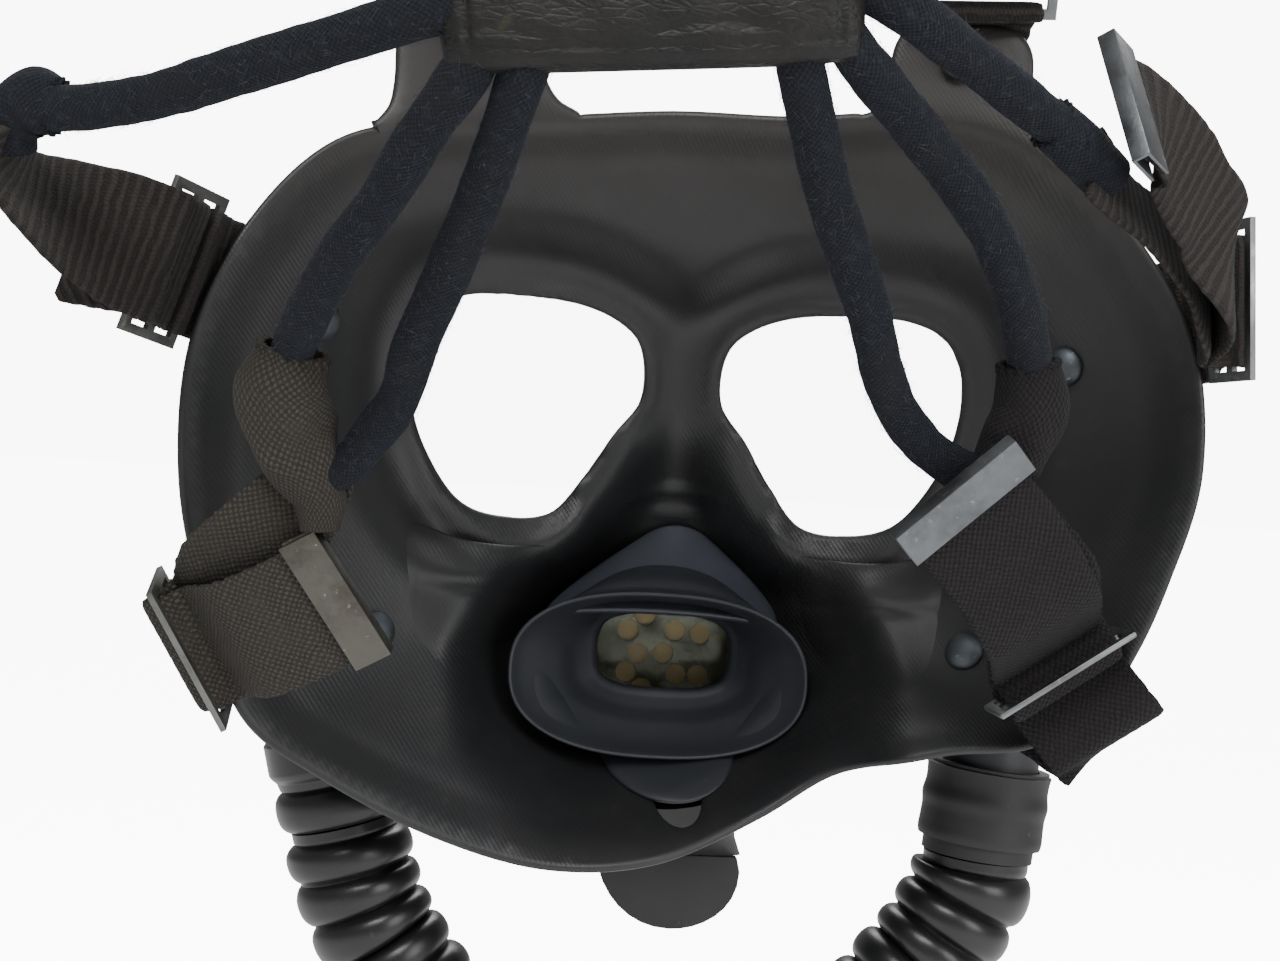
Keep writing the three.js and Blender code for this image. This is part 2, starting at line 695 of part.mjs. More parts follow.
for (const [name, hose] of Object.entries(HOSES)) {
  add(`inlet_elbow_${name}`, seated(elbow(hose)), rubberGloss);

  const top = vec(...hose.cuffTop);
  const end = vec(...hose.cuffEnd);
  const down = end.clone().sub(top).normalize();
  const length = end.distanceTo(top);
  const valve = end.clone().addScaledVector(down, -DISC.before);
  const disc = [[0, 0], [0, DISC.radius], [DISC.thick, DISC.radius], [DISC.thick, 0]];
  add(`inlet_valve_${name}`, turned(valve, down, disc, 20), film);

  const cuff = [
    [1, CUFF_INNER], [length, CUFF_INNER], [length, CUFF_OUTER - 0.6], [length - 1.5, CUFF_OUTER],
    [2, CUFF_OUTER], [1, CUFF_OUTER - 0.8],
  ];
  add(`hose_cuff_${name}`, turned(top, down, cuff, 16), hoseRubber);

  add(`breathing_hose_${name}`, rod(hosePath(hose), HOSE_RADIUS, 12, 16), hoseRubber);

  const clampAt = vec(hose.side * 21, HOSE_DEPTH, Y_TOP + 12);
  const clamp = [[-4.5, 17.1], [4.5, 17.1], [4.5, 18.4], [-4.5, 18.4]];
  add(`hose_clamp_${name}`, turned(clampAt, vec(0, 0, -1), clamp, 16), steel);
}

// ---------------------------------------------------------------- Y piece and coupling nut

const BARREL = { radius: 16.5, top: -312, flangeTop: -331, bottom: -334 };

function yPiece() {
  const legs = [-1, 1].map((side) => [
    vec(side * 21, HOSE_DEPTH, Y_TOP - 3), vec(side * 20, HOSE_DEPTH, Y_TOP - 10),
    vec(side * 10, HOSE_DEPTH, Y_TOP - 21), vec(side * 3, HOSE_DEPTH, Y_TOP - 29),
  ]);
  const barrel = turned(vec(0, HOSE_DEPTH, 0), vec(0, 0, 1), [
    [BARREL.bottom, 0], [BARREL.bottom, 19], [BARREL.flangeTop, 19], [BARREL.flangeTop, BARREL.radius],
    [BARREL.top, BARREL.radius], [BARREL.top + 3, BARREL.radius - 3], [BARREL.top + 3, 0],
  ], 20);
  let solid = toSolid(barrel);
  for (const leg of legs) {
    solid = solid.add(toSolid(rod(leg, 14.2, 10, 4)));
    const collar = turned(leg[0].clone().add(vec(0, 0, -3)), vec(0, 0, 1), [
      [0, 0], [0, 16.4], [5.6, 16.4], [5.6, 0],
    ], 20);
    solid = solid.add(toSolid(collar));
  }
  for (const leg of legs) {
    const bore = [leg[0].clone().add(vec(0, 0, 6)), ...leg.slice(1)];
    solid = solid.subtract(toSolid(rod(bore, 10.5, 10, 4)));
  }
  const bore = turned(vec(0, HOSE_DEPTH, BARREL.bottom - 2), vec(0, 0, 1), [
    [0, 0], [0, 12], [24, 12], [24, 0],
  ], 16);
  return fromSolid(solid.subtract(toSolid(bore)));
}
add('y_piece', yPiece(), castMetal);

const NUT = { lobes: 14, outer: 24, dip: 1.2, lipTop: -323.5, lipBottom: -330.4, bottom: -346 };

// a knurled nut that hangs on the flange of the Y piece
function couplingNut() {
  const sides = NUT.lobes * 4;
  const outline = Array.from({ length: sides }, (_, i) => {
    const angle = (2 * Math.PI * i) / sides;
    const radius = NUT.outer - (i % 4 < 2 ? 0 : NUT.dip);
    return new THREE.Vector2(radius * Math.cos(angle), radius * Math.sin(angle));
  });
  const height = NUT.lipTop - NUT.bottom;
  const blank = new THREE.ExtrudeGeometry(new THREE.Shape(outline), { depth: height, bevelEnabled: false });
  blank.translate(0, HOSE_DEPTH, NUT.bottom);
  const bore = turned(vec(0, HOSE_DEPTH, 0), vec(0, 0, 1), [
    [NUT.bottom - 1, 0], [NUT.bottom - 1, 20], [NUT.lipBottom, 20], [NUT.lipBottom, 17.1],
    [NUT.lipTop + 1, 17.1], [NUT.lipTop + 1, 0],
  ], 20);
  return fromSolid(toSolid(blank).subtract(toSolid(bore)));
}
add('coupling_nut', couplingNut(), steel);

const gasket = turned(vec(0, HOSE_DEPTH, BARREL.bottom - GAP - 2), vec(0, 0, 1), [
  [0, 12], [0, 18.6], [2, 18.6], [2, 12],
], 20);
add('coupling_gasket', gasket, rubber);

// ---------------------------------------------------------------- head pad

const PAD_TILT = THREE.MathUtils.degToRad(-5.5);
const padGeometry = merged(new RoundedBoxGeometry(PAD_SIZE.width, PAD_SIZE.depth, PAD_SIZE.height, 2, 5));
padGeometry.rotateY(PAD_TILT);
padGeometry.translate(PAD_CENTRE.x, PAD_CENTRE.y, PAD_CENTRE.z);
add('head_pad', padGeometry, leather);

// ---------------------------------------------------------------- harness cords

const CORDS = {
  cheek_left: [[-43, -107, 80], [-44.9, -105, 73.6], [-49, -95, 60.9], [-53.4, -84, 49.4],
    [-59.5, -70, 35.5], [-64.4, -60, 24.6], [-67.9, -50, 13.3], [-73.4, -44, 5.6], [-79.5, -40.5, -1.5],
    [-87, -40, -3.5], [-92.5, -42.5, 3], [-92.6, -46, 13], [-90.7, -50, 22.5], [-86.3, -62, 30.3],
    [-79.7, -74, 40.9], [-71.9, -84, 50.2], [-62.8, -98, 63.3], [-56.1, -105, 72.3], [-53, -107, 78]],
  cheek_right: [[6, -107, 86], [7.1, -105, 79.7], [11, -97, 70.4], [16.4, -86, 58.7], [22.5, -76, 48.3],
    [28.9, -66, 37.3], [35.3, -54, 23.7], [41.2, -46, 15.7], [50, -41, 8.5], [59, -40, 5],
    [66.5, -41, 9.5], [69, -44, 19], [67.8, -48, 28.2], [64.3, -56, 36.1], [57.7, -66, 47.5],
    [47.9, -76, 59.1], [36.1, -86, 69], [24.8, -97, 77.1], [16.5, -105, 83.4], [12, -107, 88]],
  temple_left: [[-56, -108, 85.5], [-65.8, -107, 82.7], [-81.4, -100, 78.3], [-99.4, -90, 73.7],
    [-118.1, -80, 69], [-133.8, -70, 67.5], [-141, -65, 67.8]],
  temple_right: [[12, -107, 97], [25.4, -105, 91.8], [39.4, -94, 86.5], [56.5, -82, 79], [67, -75, 74.2]],
  forehead_left: [[-48, -107, 126], [-50, -104, 136], [-53, -90, 146], [-57, -68, 149]],
  forehead_right: [[2, -107, 130], [7, -104, 140], [20, -90, 148], [37, -70, 150]],
};

const cordGeometry = {};
for (const [name, points] of Object.entries(CORDS)) {
  const whole = rod(fromList(points), CORD_RADIUS, 8, points.length);
  cordGeometry[name] = clearOf(whole, [padGeometry]);
  add(`cord_${name}`, cordGeometry[name], cordKnit);
}

// ---------------------------------------------------------------- harness buckles, tabs, straps and rivets

// bars of a buckle, as distances from the hinge bar towards the free bar
const BUCKLE = { middle: 8, free: 16, bar: 2.5, width: 37, inside: 32.4, thick: 1.4 };

// a buckle lies in the plane of its bars (across) and its own length (reach); behind is its other face
function buckleFrame({ free, across, reach }) {
  const w = vec(...across).normalize();
  const p = vec(...reach);
  p.addScaledVector(w, -p.dot(w)).normalize();
  const hinge = vec(...free).addScaledVector(p, -BUCKLE.free);
  const n = vec(0, 0, 0).crossVectors(w, p);
  return { w, p, n, hinge };
}

function inFrame(frame, along, out, sideways = 0) {
  return frame.hinge.clone()
    .addScaledVector(frame.p, along)
    .addScaledVector(frame.n, out)
    .addScaledVector(frame.w, sideways);
}

function buckle(frame) {
  const half = BUCKLE.width / 2;
  const inside = BUCKLE.inside / 2;
  const bar = BUCKLE.bar / 2;
  const box = (x0, y0, x1, y1) => [[x0, y0], [x1, y0], [x1, y1], [x0, y1]].map((p) => new THREE.Vector2(...p));
  const shape = new THREE.Shape(box(-half, -bar, half, BUCKLE.free + bar));
  shape.holes.push(new THREE.Path(box(-inside, bar, inside, BUCKLE.middle - bar)));
  shape.holes.push(new THREE.Path(box(-inside, BUCKLE.middle + bar, inside, BUCKLE.free - bar)));
  const geometry = new THREE.ExtrudeGeometry(shape, { depth: BUCKLE.thick, bevelEnabled: false });
  geometry.translate(0, 0, -BUCKLE.thick / 2);
  const place = new THREE.Matrix4().makeBasis(frame.w, frame.p, frame.n).setPosition(frame.hinge);
  geometry.applyMatrix4(place);
  return facingOut(merged(geometry));
}

// how the strap goes round the middle bar, as [along the buckle, out of its plane] in the buckle's frame:
// through both slots where the plate stands across the strap, or round the two free bars where it lies flat
const THROUGH = [[6.4, -7], [5.1, -3], [4.9, 1], [8, 4.4], [11.2, 1], [11.3, -3], [11.6, -7]];
const AROUND = [[22, -8], [16, -6.2], [9, -4], [4.7, 0], [9, 4], [16, 6.2], [22, 7.6]];
const AROUND_SHORT = [[22, -8], [16, -6.2], [9, -4], [4.7, 0], [9, 4], [13, 6.2]];

const SIDES = ['left', 'right'];
const LEGS = {
  cheek_left: {
    free: [-114, -18, -47.8], across: [0.46, 0.28, -0.84], reach: [-0.05, -1, -0.1], fold: THROUGH,
    strap: [[-85, -33.5, -2.2], [-88.5, -36, -9], [-96, -31, -19], [-103.5, -22, -30]],
    strapAcross: [[1, 0.1, -0.15], [1, 0.15, -0.3], [0.85, 0.2, -0.5], [0.7, 0.25, -0.7]],
    tail: [[-100.5, -25, -41.7], [-90.2, -30, -36.7], [-77, -34, -29.1]],
    tip: true,
  },
  cheek_right: {
    free: [88, -18, -39.9], across: [0.82, 0, 0.57], reach: [0, -1, 0], fold: THROUGH,
    rimAt: [97, -51],
    wrap: [[102.5, 1, -55.5, 0.3], [102.5, -5, -56.5, 0.6], [98.5, -9.5, -53, 1]],
    strap: [[62.5, -33, 3.5], [66, -36, -3], [72, -32, -12], [79.5, -24, -23]],
    strapAcross: [[1, 0, 0.1], [1, 0, 0.3], [0.9, 0, 0.45], [0.85, 0, 0.52]],
    tail: [[78.5, -30, -27], [68.4, -40, -15], [52.1, -52, 1.2]],
    tip: true,
  },
  temple_left: {
    free: [-126.5, -23, 43.6], across: [-0.3, 0, -0.953], reach: [-0.5, -0.86, 0.15], fold: AROUND_SHORT,
    strap: [[-147, -61, 66], [-150.5, -54, 58], [-145.5, -47, 51]],
    strapAcross: [[-0.3, -0.9, -0.2], [-0.15, -0.95, -0.25], [-0.2, -0.8, -0.55]],
    tail: [[-134, -18, 43.5], [-148.5, -14, 33]],
    tip: false,
  },
  temple_right: {
    free: [121.5, -30, 48.6], across: [-0.06, 0, 1], reach: [0.2, -0.98, 0], fold: THROUGH,
    wrap: [[119.4, -5, 45.4, 0.1]],
    strap: [[73.5, -70, 70.5], [84.7, -59, 64], [99.1, -48, 56], [109.5, -36, 49]],
    strapAcross: [[0.4, 0.5, 0.76], [0.25, 0.75, 0.6], [0.2, 0.7, 0.68], [0.05, 0.3, 0.95]],
    tail: [[110.5, -48, 53], [101, -57, 65.5], [89, -65, 77.5], [77, -77.5, 83]],
    tailAcross: [-0.13, 0.5, 0.85],
    tip: true,
  },
  forehead_left: {
    free: [-62, -3, 131], across: [-1, 0, 0.06], reach: [0, -0.45, 0.9], fold: AROUND,
    strap: [[-58.2, -60, 150.5], [-60, -44, 152], [-62, -26, 148]],
    strapAcross: [[-1, 0, 0], [-1, 0, 0], [-1, 0, 0]],
    tail: [[-62, 4, 150], [-62, 6, 160]],
    tip: false,
  },
  forehead_right: {
    free: [62, -3, 131], across: [-1, 0, -0.06], reach: [0, -0.45, 0.9], fold: AROUND,
    strap: [[43, -62, 151.5], [52, -44, 152], [60, -26, 148]],
    strapAcross: [[-0.95, 0.3, 0], [-0.97, 0.2, 0], [-1, 0, 0]],
    tail: [[62, 4, 150], [62, 6, 160]],
    tip: false,
  },
};

const STRAIGHT_END = 9; // so much of the tail is straight, for its clip

function strap(leg, frame) {
  const fold = leg.fold.map(([along, out]) => inFrame(frame, along, out));
  const tail = fromList(leg.tail);
  const [beforeEnd, end] = tail.slice(-2);
  const straight = beforeEnd.clone().sub(end).setLength(STRAIGHT_END).add(end);
  const points = [...fromList(leg.strap), ...fold, ...tail.slice(0, -1), straight, end];
  const lastAcross = leg.tailAcross ? vec(...leg.tailAcross).normalize() : frame.w;
  const across = [
    ...fromList(leg.strapAcross),
    ...fold.map(() => frame.w.clone()),
    ...tail.slice(0, -1).map((_, i) => frame.w.clone().lerp(lastAcross, ((i + 1) / tail.length) ** 3)),
    lastAcross.clone(),
    lastAcross.clone(),
  ];
  const narrow = [[0, 17], [0.06, 19], [0.2, WEB_WIDTH], [1, WEB_WIDTH]];
  return { geometry: band(points, across, WEB_WIDTH, WEB_THICK, 2, narrow), points, across };
}

// a folded metal clip over the end of a strap, open towards the strap
function tipClip({ points, across }) {
  const end = points[points.length - 1];
  const t = end.clone().sub(points[points.length - 2]).normalize();
  const w = across[across.length - 1].clone();
  w.addScaledVector(t, -w.dot(t)).normalize();
  const n = vec(0, 0, 0).crossVectors(w, t);
  const inner = WEB_THICK / 2 + 0.35;
  const outer = inner + 0.8;
  const profile = new THREE.Shape([
    [-8, inner], [GAP, inner], [GAP, -inner], [-8, -inner], [-8, -outer], [GAP + 0.8, -outer],
    [GAP + 0.8, outer], [-8, outer],
  ].map((p) => new THREE.Vector2(...p)));
  const width = WEB_WIDTH + 3;
  const geometry = new THREE.ExtrudeGeometry(profile, { depth: width, bevelEnabled: false });
  geometry.translate(0, 0, -width / 2);
  geometry.applyMatrix4(new THREE.Matrix4().makeBasis(t, n, w.clone().negate()).setPosition(end));
  return facingOut(merged(geometry));
}

// the webbing tab that lies on the outer face, passes the rim and loops round the hinge bar
const TAB_LOW = WALL + 1.7; // its under side, out from the inner face
const TAB_THICK = 1.4;
const TAB_MIDDLE = TAB_LOW + TAB_THICK / 2;
const LOOP_REACH = BUCKLE.bar / 2 + GAP + TAB_THICK / 2;
const TAB_END = 6.5; // the part against the face stops this far short of the hinge bar
const TAB_ACROSS = [-1, -0.5, 0, 0.5, 1];

// a cross-section of the tab from points along its width: the under side, then the upper side back
function tabRing(pointAt) {
  const under = TAB_ACROSS.map((t) => pointAt(t, -TAB_THICK / 2));
  const upper = TAB_ACROSS.map((t) => pointAt(t, TAB_THICK / 2)).reverse();
  return [...under, ...upper];
}

function tab(name, frame, leg) {
  const rings = [];
  const half = WEB_WIDTH / 2;
  const free = (centre, across, up) => rings.push(tabRing((t, out) => centre.clone()
    .addScaledVector(across, half * t)
    .addScaledVector(up, out)));
  let from;
  let across;
  let up = outwards.clone();
  if (name in RIVETS) {
    const { x, z } = RIVETS[name];
    const goal = leg.rimAt ?? [frame.hinge.x, frame.hinge.z];
    const heading = new THREE.Vector2(goal[0] - x, goal[1] - z);
    const length = heading.length();
    heading.normalize();
    across = vec(heading.y, 0, -heading.x);
    const rim = (at) => rimAt(Math.atan2(at.y, at.x)).radius;
    const barWay = frame.w.clone().multiplyScalar(Math.sign(frame.w.dot(across)));
    for (let along = -5; along <= length; along += 4) {
      const at = new THREE.Vector2(x, z).addScaledVector(heading, along);
      const spot = onFace(at.x, at.y, TAB_MIDDLE);
      const offBar = spot.point.clone().sub(frame.hinge);
      offBar.addScaledVector(frame.w, -offBar.dot(frame.w));
      if (at.length() > rim(at) - 1.5 || offBar.length() < TAB_END) break;
      across.lerp(vec(barWay.x, 0, barWay.z), 0.3).normalize();
      rings.push(tabRing((t, out) => onFace(at.x + across.x * half * t, at.y + across.z * half * t,
        TAB_MIDDLE + out).point));
      from = spot.point;
      up = spot.normal;
    }
  } else {
    const side = Math.sign(frame.hinge.x);
    across = vec(1, 0, -0.06 * side);
    for (const [x, y, z] of [[58.5, 12.6, 96], [59.5, 12.2, 104], [61, 12, 112]]) {
      from = vec(side * x, y, z);
      free(from, across, up);
    }
  }
  const w = frame.w.clone();
  if (w.dot(across) < 0) w.negate();
  for (const [x, y, z, turn] of leg.wrap ?? []) {
    const point = vec(x, y, z);
    const run = point.clone().sub(from).normalize();
    const side = across.clone().lerp(w, turn);
    side.addScaledVector(run, -side.dot(run)).normalize();
    const lift = vec(0, 0, 0).crossVectors(side, run).normalize();
    if (lift.dot(up) < 0) lift.negate();
    free(point, side, lift);
    from = point;
    up = lift;
  }
  const lead = from.clone().sub(frame.hinge);
  lead.addScaledVector(w, -lead.dot(w)).normalize();
  const lift = vec(0, 0, 0).crossVectors(w, lead).normalize();
  if (lift.dot(up) < 0) lift.negate(); // the tab reaches the bar on its outer side
  for (const degrees of [70, 110, 150, 190, 230, 270]) {
    const angle = THREE.MathUtils.degToRad(degrees);
    const ray = lead.clone().multiplyScalar(Math.cos(angle)).addScaledVector(lift, Math.sin(angle));
    free(frame.hinge.clone().addScaledVector(ray, LOOP_REACH), w, ray);
  }
  return skin(rings);
}

// domed inside, peened over a washer outside
function rivet(point, axis, stack) {
  return turned(point, axis, [
    [-3.4, 0], [-3.3, 1.8], [-2.8, 3.4], [-1.9, 4.6], [-0.9, 5], [-0.9, 1.6],
    [stack, 1.6], [stack, 3.6], [stack + 1, 3.4], [stack + 1.4, 0],
  ], 10);
}

for (const place of ['cheek', 'temple', 'forehead']) {
  for (const side of SIDES) {
    const name = `${place}_${side}`;
    const leg = LEGS[name];
    const frame = buckleFrame(leg);
    const look = name === 'cheek_right' ? webbingDark : webbing;
    const slide = buckle(frame);
    add(`buckle_${name}`, slide, steel);

    const made = strap(leg, frame);
    const beltGeometry = clearOf(made.geometry, [cordGeometry[name], slide]);
    add(`strap_${name}`, beltGeometry, look);
    if (leg.tip) add(`strap_tip_${name}`, tipClip(made), steel);

    const onShell = name in RIVETS;
    const spot = onShell
      ? { ...onFace(RIVETS[name].x, RIVETS[name].z, 0), stack: TAB_LOW + TAB_THICK + 0.5 }
      : { point: vec(Math.sign(frame.hinge.x) * (FOREHEAD.x - 1), 6.5, FOREHEAD.rivetZ), normal: outwards, stack: 7.5 };
    const hole = holeAt(spot.point, spot.normal, RIVET_HOLE - GAP, 9);
    const belt = toSolid(beltGeometry);
    const nearer = frame.p.clone().multiplyScalar(-GAP).toArray();
    let loop = toSolid(tab(name, frame, leg)).subtract(toSolid(hole));
    loop = loop.subtract(belt).subtract(belt.translate(nearer));
    add(`tab_${name}`, fromSolid(mainBody(loop)), look);
    add(`rivet_${name}`, rivet(spot.point, spot.normal, spot.stack), rivetMetal);
  }
}

export default root;
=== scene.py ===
# Looks of the full-face respirator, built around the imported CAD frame.
# Lengths in the tables are millimetres in the face frame (middle of the face opening, +Z up,
# +Y out of the front of the face); P() turns them into metres in the frame of the CAD.
import math
from contextlib import contextmanager

import bmesh
import bpy
import numpy as np
from mathutils import Matrix, Vector, geometry


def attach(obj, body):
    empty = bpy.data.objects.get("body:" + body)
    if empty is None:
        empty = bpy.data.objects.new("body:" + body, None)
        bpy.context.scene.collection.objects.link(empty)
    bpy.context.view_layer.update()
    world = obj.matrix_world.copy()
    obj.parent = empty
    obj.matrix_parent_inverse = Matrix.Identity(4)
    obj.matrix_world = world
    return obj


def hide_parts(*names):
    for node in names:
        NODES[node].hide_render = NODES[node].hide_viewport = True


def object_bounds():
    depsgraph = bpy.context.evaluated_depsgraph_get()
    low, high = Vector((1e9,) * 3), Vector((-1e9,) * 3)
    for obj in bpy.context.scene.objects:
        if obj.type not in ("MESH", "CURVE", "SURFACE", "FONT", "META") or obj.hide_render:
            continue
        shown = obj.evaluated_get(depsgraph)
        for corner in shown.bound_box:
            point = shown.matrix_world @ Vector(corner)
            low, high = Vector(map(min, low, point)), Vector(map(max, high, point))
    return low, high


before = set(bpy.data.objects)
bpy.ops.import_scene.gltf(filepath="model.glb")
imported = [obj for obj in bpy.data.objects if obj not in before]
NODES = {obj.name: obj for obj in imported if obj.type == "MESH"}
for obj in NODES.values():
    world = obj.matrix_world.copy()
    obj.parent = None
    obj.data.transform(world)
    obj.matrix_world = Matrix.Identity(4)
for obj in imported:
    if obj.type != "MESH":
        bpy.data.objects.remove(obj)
CAD_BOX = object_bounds()

FACE_ORIGIN = np.array([23.0, 108.0, -104.0])
MM = 0.001


def P(points):
    return (np.asarray(points, float) + FACE_ORIGIN) * MM


# ------------------------------------------------------------------ camera
VIEW_RIGHT = Vector((0.99687, -0.05224, 0.05931))
VIEW_UP = Vector((-0.05923, 0.00310, 0.99824))
VIEW_FROM = (-38.98, -498.64, -0.76)
SENSOR = 36.0
LENS = 59.06
CLIP_START, CLIP_END = 0.01, 60

camera_data = bpy.data.cameras.new("camera")
camera_data.sensor_width = SENSOR
camera_data.lens = LENS
camera_data.clip_start = CLIP_START
camera_data.clip_end = CLIP_END
camera = bpy.data.objects.new("camera", camera_data)
bpy.context.scene.collection.objects.link(camera)
right = VIEW_RIGHT.normalized()
up = (VIEW_UP - VIEW_UP.dot(right) * right).normalized()
back = right.cross(up)
basis = Matrix((right, up, back)).transposed().to_4x4()
camera.matrix_world = Matrix.Translation(Vector(P(VIEW_FROM))) @ basis
bpy.context.scene.camera = camera


# ------------------------------------------------------------------ numbers and curves
def smoothstep(low, high, value):
    t = np.clip((np.asarray(value, float) - low) / (high - low), 0, 1)
    return t * t * (3 - 2 * t)


def unit(v):
    v = np.asarray(v, float)
    return v / np.maximum(np.linalg.norm(v, axis=-1, keepdims=True), 1e-12)


def catmull(points, count, closed=False, power=0.25):
    """Points along a Catmull-Rom curve; power 0.25 is centripetal and 0 is uniform."""
    p = np.asarray(points, float)
    n = len(p)
    spans = n if closed else n - 1
    t = np.linspace(0, spans, count, endpoint=not closed)
    i = np.minimum(t.astype(int), spans - 1)
    w = (t - i)[:, None]
    if closed:
        a, b, c, d = (p[(i + k) % n] for k in (-1, 0, 1, 2))
    else:
        ext = np.vstack([2 * p[0] - p[1], p, 2 * p[-1] - p[-2]])
        a, b, c, d = (ext[i + k] for k in (0, 1, 2, 3))
    pairs = ((b, a), (c, b), (d, c))
    span = [((q - r) ** 2).sum(1) ** power if power else np.ones(count) for q, r in pairs]
    gap = [np.maximum(g[:, None], 1e-4) for g in span]
    t1 = ((b - a) / gap[0] - (c - a) / (gap[0] + gap[1]) + (c - b) / gap[1]) * gap[1]
    t2 = ((c - b) / gap[1] - (d - b) / (gap[1] + gap[2]) + (d - c) / gap[2]) * gap[1]
    return (2 * b - 2 * c + t1 + t2) * w**3 + (-3 * b + 3 * c - 2 * t1 - t2) * w**2 + t1 * w + b


def even(points, step):
    """The same line with points evenly far apart, and how far along it each one lies."""
    p = np.asarray(points, float)
    s = run_along(p)
    n = max(2, int(round(s[-1] / step)) + 1)
    at = np.linspace(0, s[-1], n)
    return np.stack([np.interp(at, s, p[:, k]) for k in range(p.shape[1])], 1), at


def full_circle(count):
    return np.linspace(0, 2 * math.pi, count, endpoint=False)


def ramp(rows, at):
    xs, ys = zip(*rows)
    return np.interp(at, xs, ys)


def wobble(seed, at, period, octaves=2):
    """A smooth repeatable wander between about -1 and 1 along a line."""
    r = np.random.default_rng(seed)
    at = np.asarray(at, float)
    total = np.zeros_like(at)
    for k in range(octaves):
        for _ in range(3):
            f = 2 * math.pi * (1.6**k) * r.uniform(0.6, 1.4) / period
            total += math.pow(0.6, k) * np.sin(at * f + r.uniform(0, 6.3)) / 3
    return total


# ------------------------------------------------------------------ mesh helpers
def piece(name, verts, faces, material=None, smooth=True, attributes=None):
    """A mesh object from points in metres; attributes are per-point vectors for the materials."""
    mesh = bpy.data.meshes.new(name)
    face_rows = faces.tolist() if hasattr(faces, "tolist") else faces
    mesh.from_pydata(np.asarray(verts, float).tolist(), [], face_rows)
    mesh.validate()
    for key, values in (attributes or {}).items():
        layer = mesh.attributes.new(key, "FLOAT_VECTOR", "POINT")
        layer.data.foreach_set("vector", np.asarray(values, np.float32).ravel())
    mesh.polygons.foreach_set("use_smooth", [smooth] * len(mesh.polygons))
    mesh.update()
    obj = bpy.data.objects.new(name, mesh)
    bpy.context.scene.collection.objects.link(obj)
    if material:
        mesh.materials.append(material)
    return obj


def grid_faces(rows, columns, wrap_rows=False, wrap_columns=True):
    i = np.arange(rows if wrap_rows else rows - 1)
    j = np.arange(columns if wrap_columns else columns - 1)
    i, j = np.meshgrid(i, j, indexing="ij")
    a = i * columns + j
    b = i * columns + (j + 1) % columns
    c = ((i + 1) % rows) * columns + (j + 1) % columns
    d = ((i + 1) % rows) * columns + j
    return np.stack([a, b, c, d], -1).reshape(-1, 4)


def frames_along(line, first=(0, 1, 0)):
    """A tangent and two steady side vectors at each point of a line."""
    t = unit(np.gradient(line, axis=0))
    u = np.zeros_like(t)
    guess = np.array(first, float)
    for k in range(len(t)):
        guess = guess - guess.dot(t[k]) * t[k]
        guess = guess / max(np.linalg.norm(guess), 1e-9)
        u[k] = guess
    return t, u, np.cross(t, u)


def closed_ends(faces, rows, columns):
    """The faces of a tube with a cap on each end."""
    first = list(range(columns))[::-1]
    last = list(range((rows - 1) * columns, rows * columns))
    return [*faces.tolist(), first, last]


@contextmanager
def edited(mesh):
    """A mesh opened for editing and written back at the end."""
    bm = bmesh.new()
    bm.from_mesh(mesh)
    yield bm
    bm.to_mesh(mesh)
    bm.free()


def facing_out(obj):
    """Turns a mesh whose faces look inwards."""
    with edited(obj.data) as bm:
        if bm.calc_volume(signed=True) < 0:
            bmesh.ops.reverse_faces(bm, faces=bm.faces)
    return obj


def spokes(u, v, angle):
    """Unit vectors round a line, a row for each of its points."""
    return u[:, None] * np.cos(angle)[None, :, None] + v[:, None] * np.sin(angle)[None, :, None]


def run_along(line):
    """How far along a line each of its points lies."""
    return np.concatenate([[0], np.cumsum(np.linalg.norm(np.diff(line, axis=0), axis=1))])


def tube(name, line, radius, sides, material):
    """A closed tube round a line in metres; radius has a row per point and a column per side."""
    rows = len(line)
    u, v = frames_along(line)[1:]
    angle = full_circle(sides)
    verts = (line[:, None] + spokes(u, v, angle) * radius[..., None]).reshape(-1, 3)
    lay = np.zeros((rows, sides, 3))
    lay[..., 0] = angle[None] / (2 * math.pi)
    lay[..., 1] = (run_along(line) / MM)[:, None]
    lay[..., 2] = np.cos(angle)[None]
    faces = closed_ends(grid_faces(rows, sides), rows, sides)
    return facing_out(piece(name, verts, faces, material, attributes={"lay": lay.reshape(-1, 3)}))


# ------------------------------------------------------------------ materials
def new_material(name):
    material = bpy.data.materials.new(name)
    material.use_nodes = True
    tree = material.node_tree
    shader = tree.nodes["Principled BSDF"]
    return material, tree, shader


